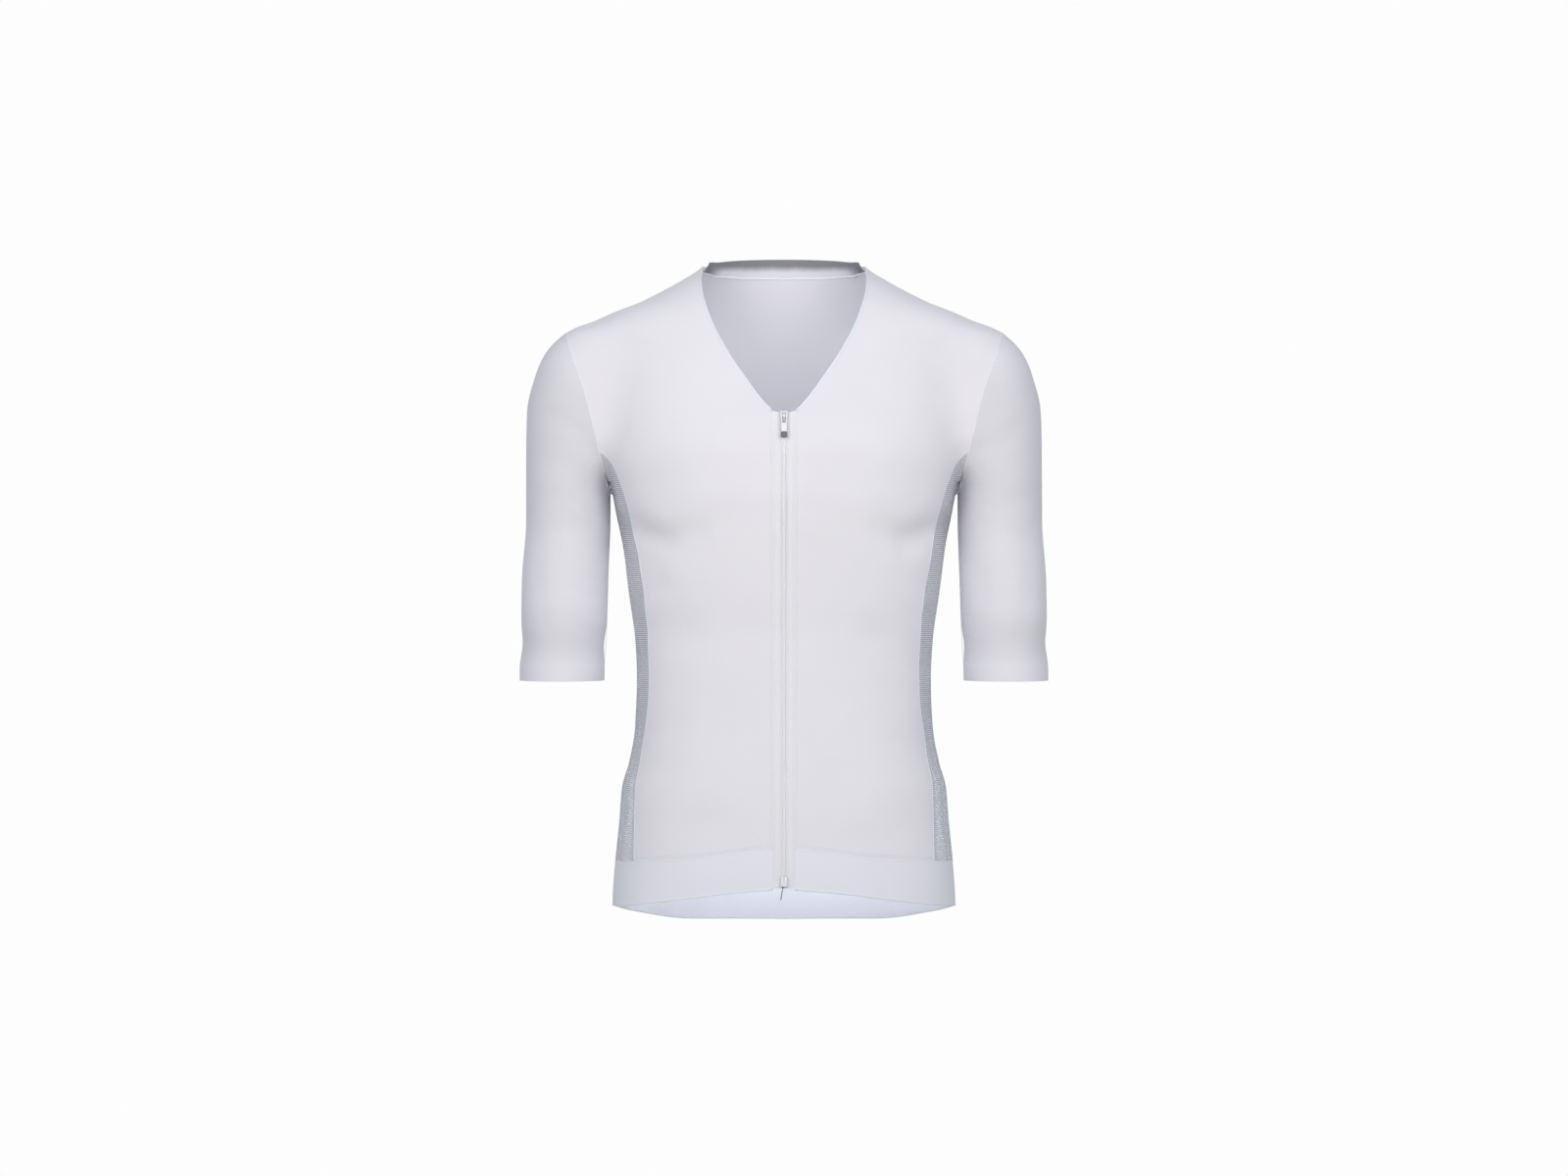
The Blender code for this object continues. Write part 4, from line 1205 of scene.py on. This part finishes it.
def on_zip(height):
    """The place of a hard piece on the zip: a point on the tapes' outer face, and the tapes' tilt about X."""
    below, above = on_tapes([height - TILT_REACH, height + TILT_REACH])
    return np.array((0, float(on_tapes(height)), height)), math.atan((below - above) / (2 * TILT_REACH))


def moulded(name, place, finishes, body, blocks, foot=1.0, length=1.0):
    """Rounded blocks joined in the frame of place. foot narrows the piece towards its lower end.

    Each block's row is x y z, width depth height, rounding, and which of the finishes it has. A block beside
    the middle has a twin on the other side.
    """
    (origin, tilt), shape = place, bmesh.new()
    twins = [(x, *rest) for out, *rest in blocks for x in ((-out, out) if out else (0,))]
    for x, y, z, width, depth, height, rounding, finish in twins:
        made = bmesh.ops.create_cube(shape, size=1)["verts"]
        for vertex in made:
            vertex.co = (x + width * vertex.co.x, y + depth * vertex.co.y, z + height * vertex.co.z)
        edges = list({edge for vertex in made for edge in vertex.link_edges})
        faces = {face for vertex in made for face in vertex.link_faces}
        if rounding:
            rounded = bmesh.ops.bevel(shape, geom=edges, offset=rounding, segments=3, profile=0.5,
                                      affect="EDGES")
            faces = {face for face in faces if face.is_valid} | set(rounded["faces"])
        for face in faces:
            face.material_index = finish
    for vertex in shape.verts:
        x, y, z = vertex.co
        x *= 1 - (1 - foot) * (0.5 - z / length)
        turned = (x, y * math.cos(tilt) - z * math.sin(tilt), y * math.sin(tilt) + z * math.cos(tilt))
        vertex.co = (np.array(turned) + origin) * MM
    bmesh.ops.recalc_face_normals(shape, faces=shape.faces)
    mesh = bpy.data.meshes.new(name)
    shape.to_mesh(mesh)
    shape.free()
    mesh.shade_smooth()
    mesh.set_sharp_from_angle(angle=math.radians(SHARP))
    for finish in finishes:
        mesh.materials.append(finish)
    piece = dressed(new_object(name + "_moulding", mesh), finishes[0], body)
    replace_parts(piece, name)


face = -SLIDER_OFF - SLIDER_DEPTH
slider_place = on_zip(SLIDER_HEIGHT)
moulded("zip_slider", slider_place, (WHITE_PLASTIC, GREY_PLASTIC_AND_SHADE), "garment", (
    (0, -0.8, 0, 6.8, 1.0, 10.6, 0.35, 0),
    # Core: partly the slider's dark channel, partly painted shade seen through the slots.
    (0, -2.1, 0, 4.6, 1.6, 10.2, 0, 1),
    (2.75, face + 0.7, 0, 1.9, 1.4, SLIDER_LENGTH, 0.45, 0),
    (0, face + 0.8, 4.55, 6.0, 1.5, 1.9, 0.4, 0),
    (0, face + 0.8, 1.55, 4.4, 1.3, 2.1, 0.25, 0),
    (0, face + 0.8, -0.95, 4.4, 1.3, 1.7, 0.25, 0),
    (0, face + 0.8, -3.85, 4.4, 1.3, 1.7, 0.25, 0),
    (3.3, -2.1, -2.6, 0.8, 2.2, 5.4, 0.25, 0),
    (0, face - 1.25, 3.6, 1.3, 4.5, 1.2, 0.3, 0),
    (0, face - 1.25, -3.6, 1.3, 4.5, 1.2, 0.3, 0),
    (0, face - BRIDGE_RISE + 0.6, 0, 1.3, 1.2, 8.4, 0.4, 0),
), SLIDER_FOOT, SLIDER_LENGTH)

origin, tilt = slider_place
out = face - PULL_AXIS_RISE
pull_place = origin + (0, out * math.cos(tilt), out * math.sin(tilt)), tilt + math.radians(PULL_LEAN)
moulded("zip_pull", pull_place, (WHITE_PLASTIC,), "pull", (
    (0, 0, 0, 5.6, 1.2, 1.3, 0.45, 0),
    (2.2, 0, -3.55, 1.2, 1.2, 7.0, 0.4, 0),
    (0, 0.05, (PULL_FOOT - 6.45) / 2, 5.0, 0.9, 9.2, 0.3, 0),
    (2.4, 0, (PULL_FOOT - 6.2) / 2, 0.8, 1.2, 9.45, 0.35, 0),
))
moulded("zip_grip", pull_place, (GREY_PLASTIC_AND_SHADE, PALE_GREY), "pull", (
    (2.3, 0, GRIP_TOP - 2.65, 1.6, 2.6, 5.3, 0.6, 0),
    (0, 0, GRIP_TOP - 0.85, 5.4, 2.5, 1.7, 0.5, 0),
    (0, 0, GRIP_TOP - 4.3, 5.4, 2.6, 2.0, 0.6, 0),
    (0, 0, GRIP_TOP - 2.6, 3.4, 1.8, 2.2, 0.2, 1),
))
moulded("zip_box", on_zip(BOX_HEIGHT), (WHITE_PLASTIC, PALE_GREY), "garment", (
    (0, -SLIDER_OFF - 1.6, 0, 6.6, 3.2, 9.0, 0.7, 0),
    (0, -SLIDER_OFF - 3.1, 2.4, 0.5, 0.36, 3.6, 0, 1),
    (1.1, -SLIDER_OFF - 1.8, 5.2, 1.4, 1.6, 2.2, 0.3, 0),
))
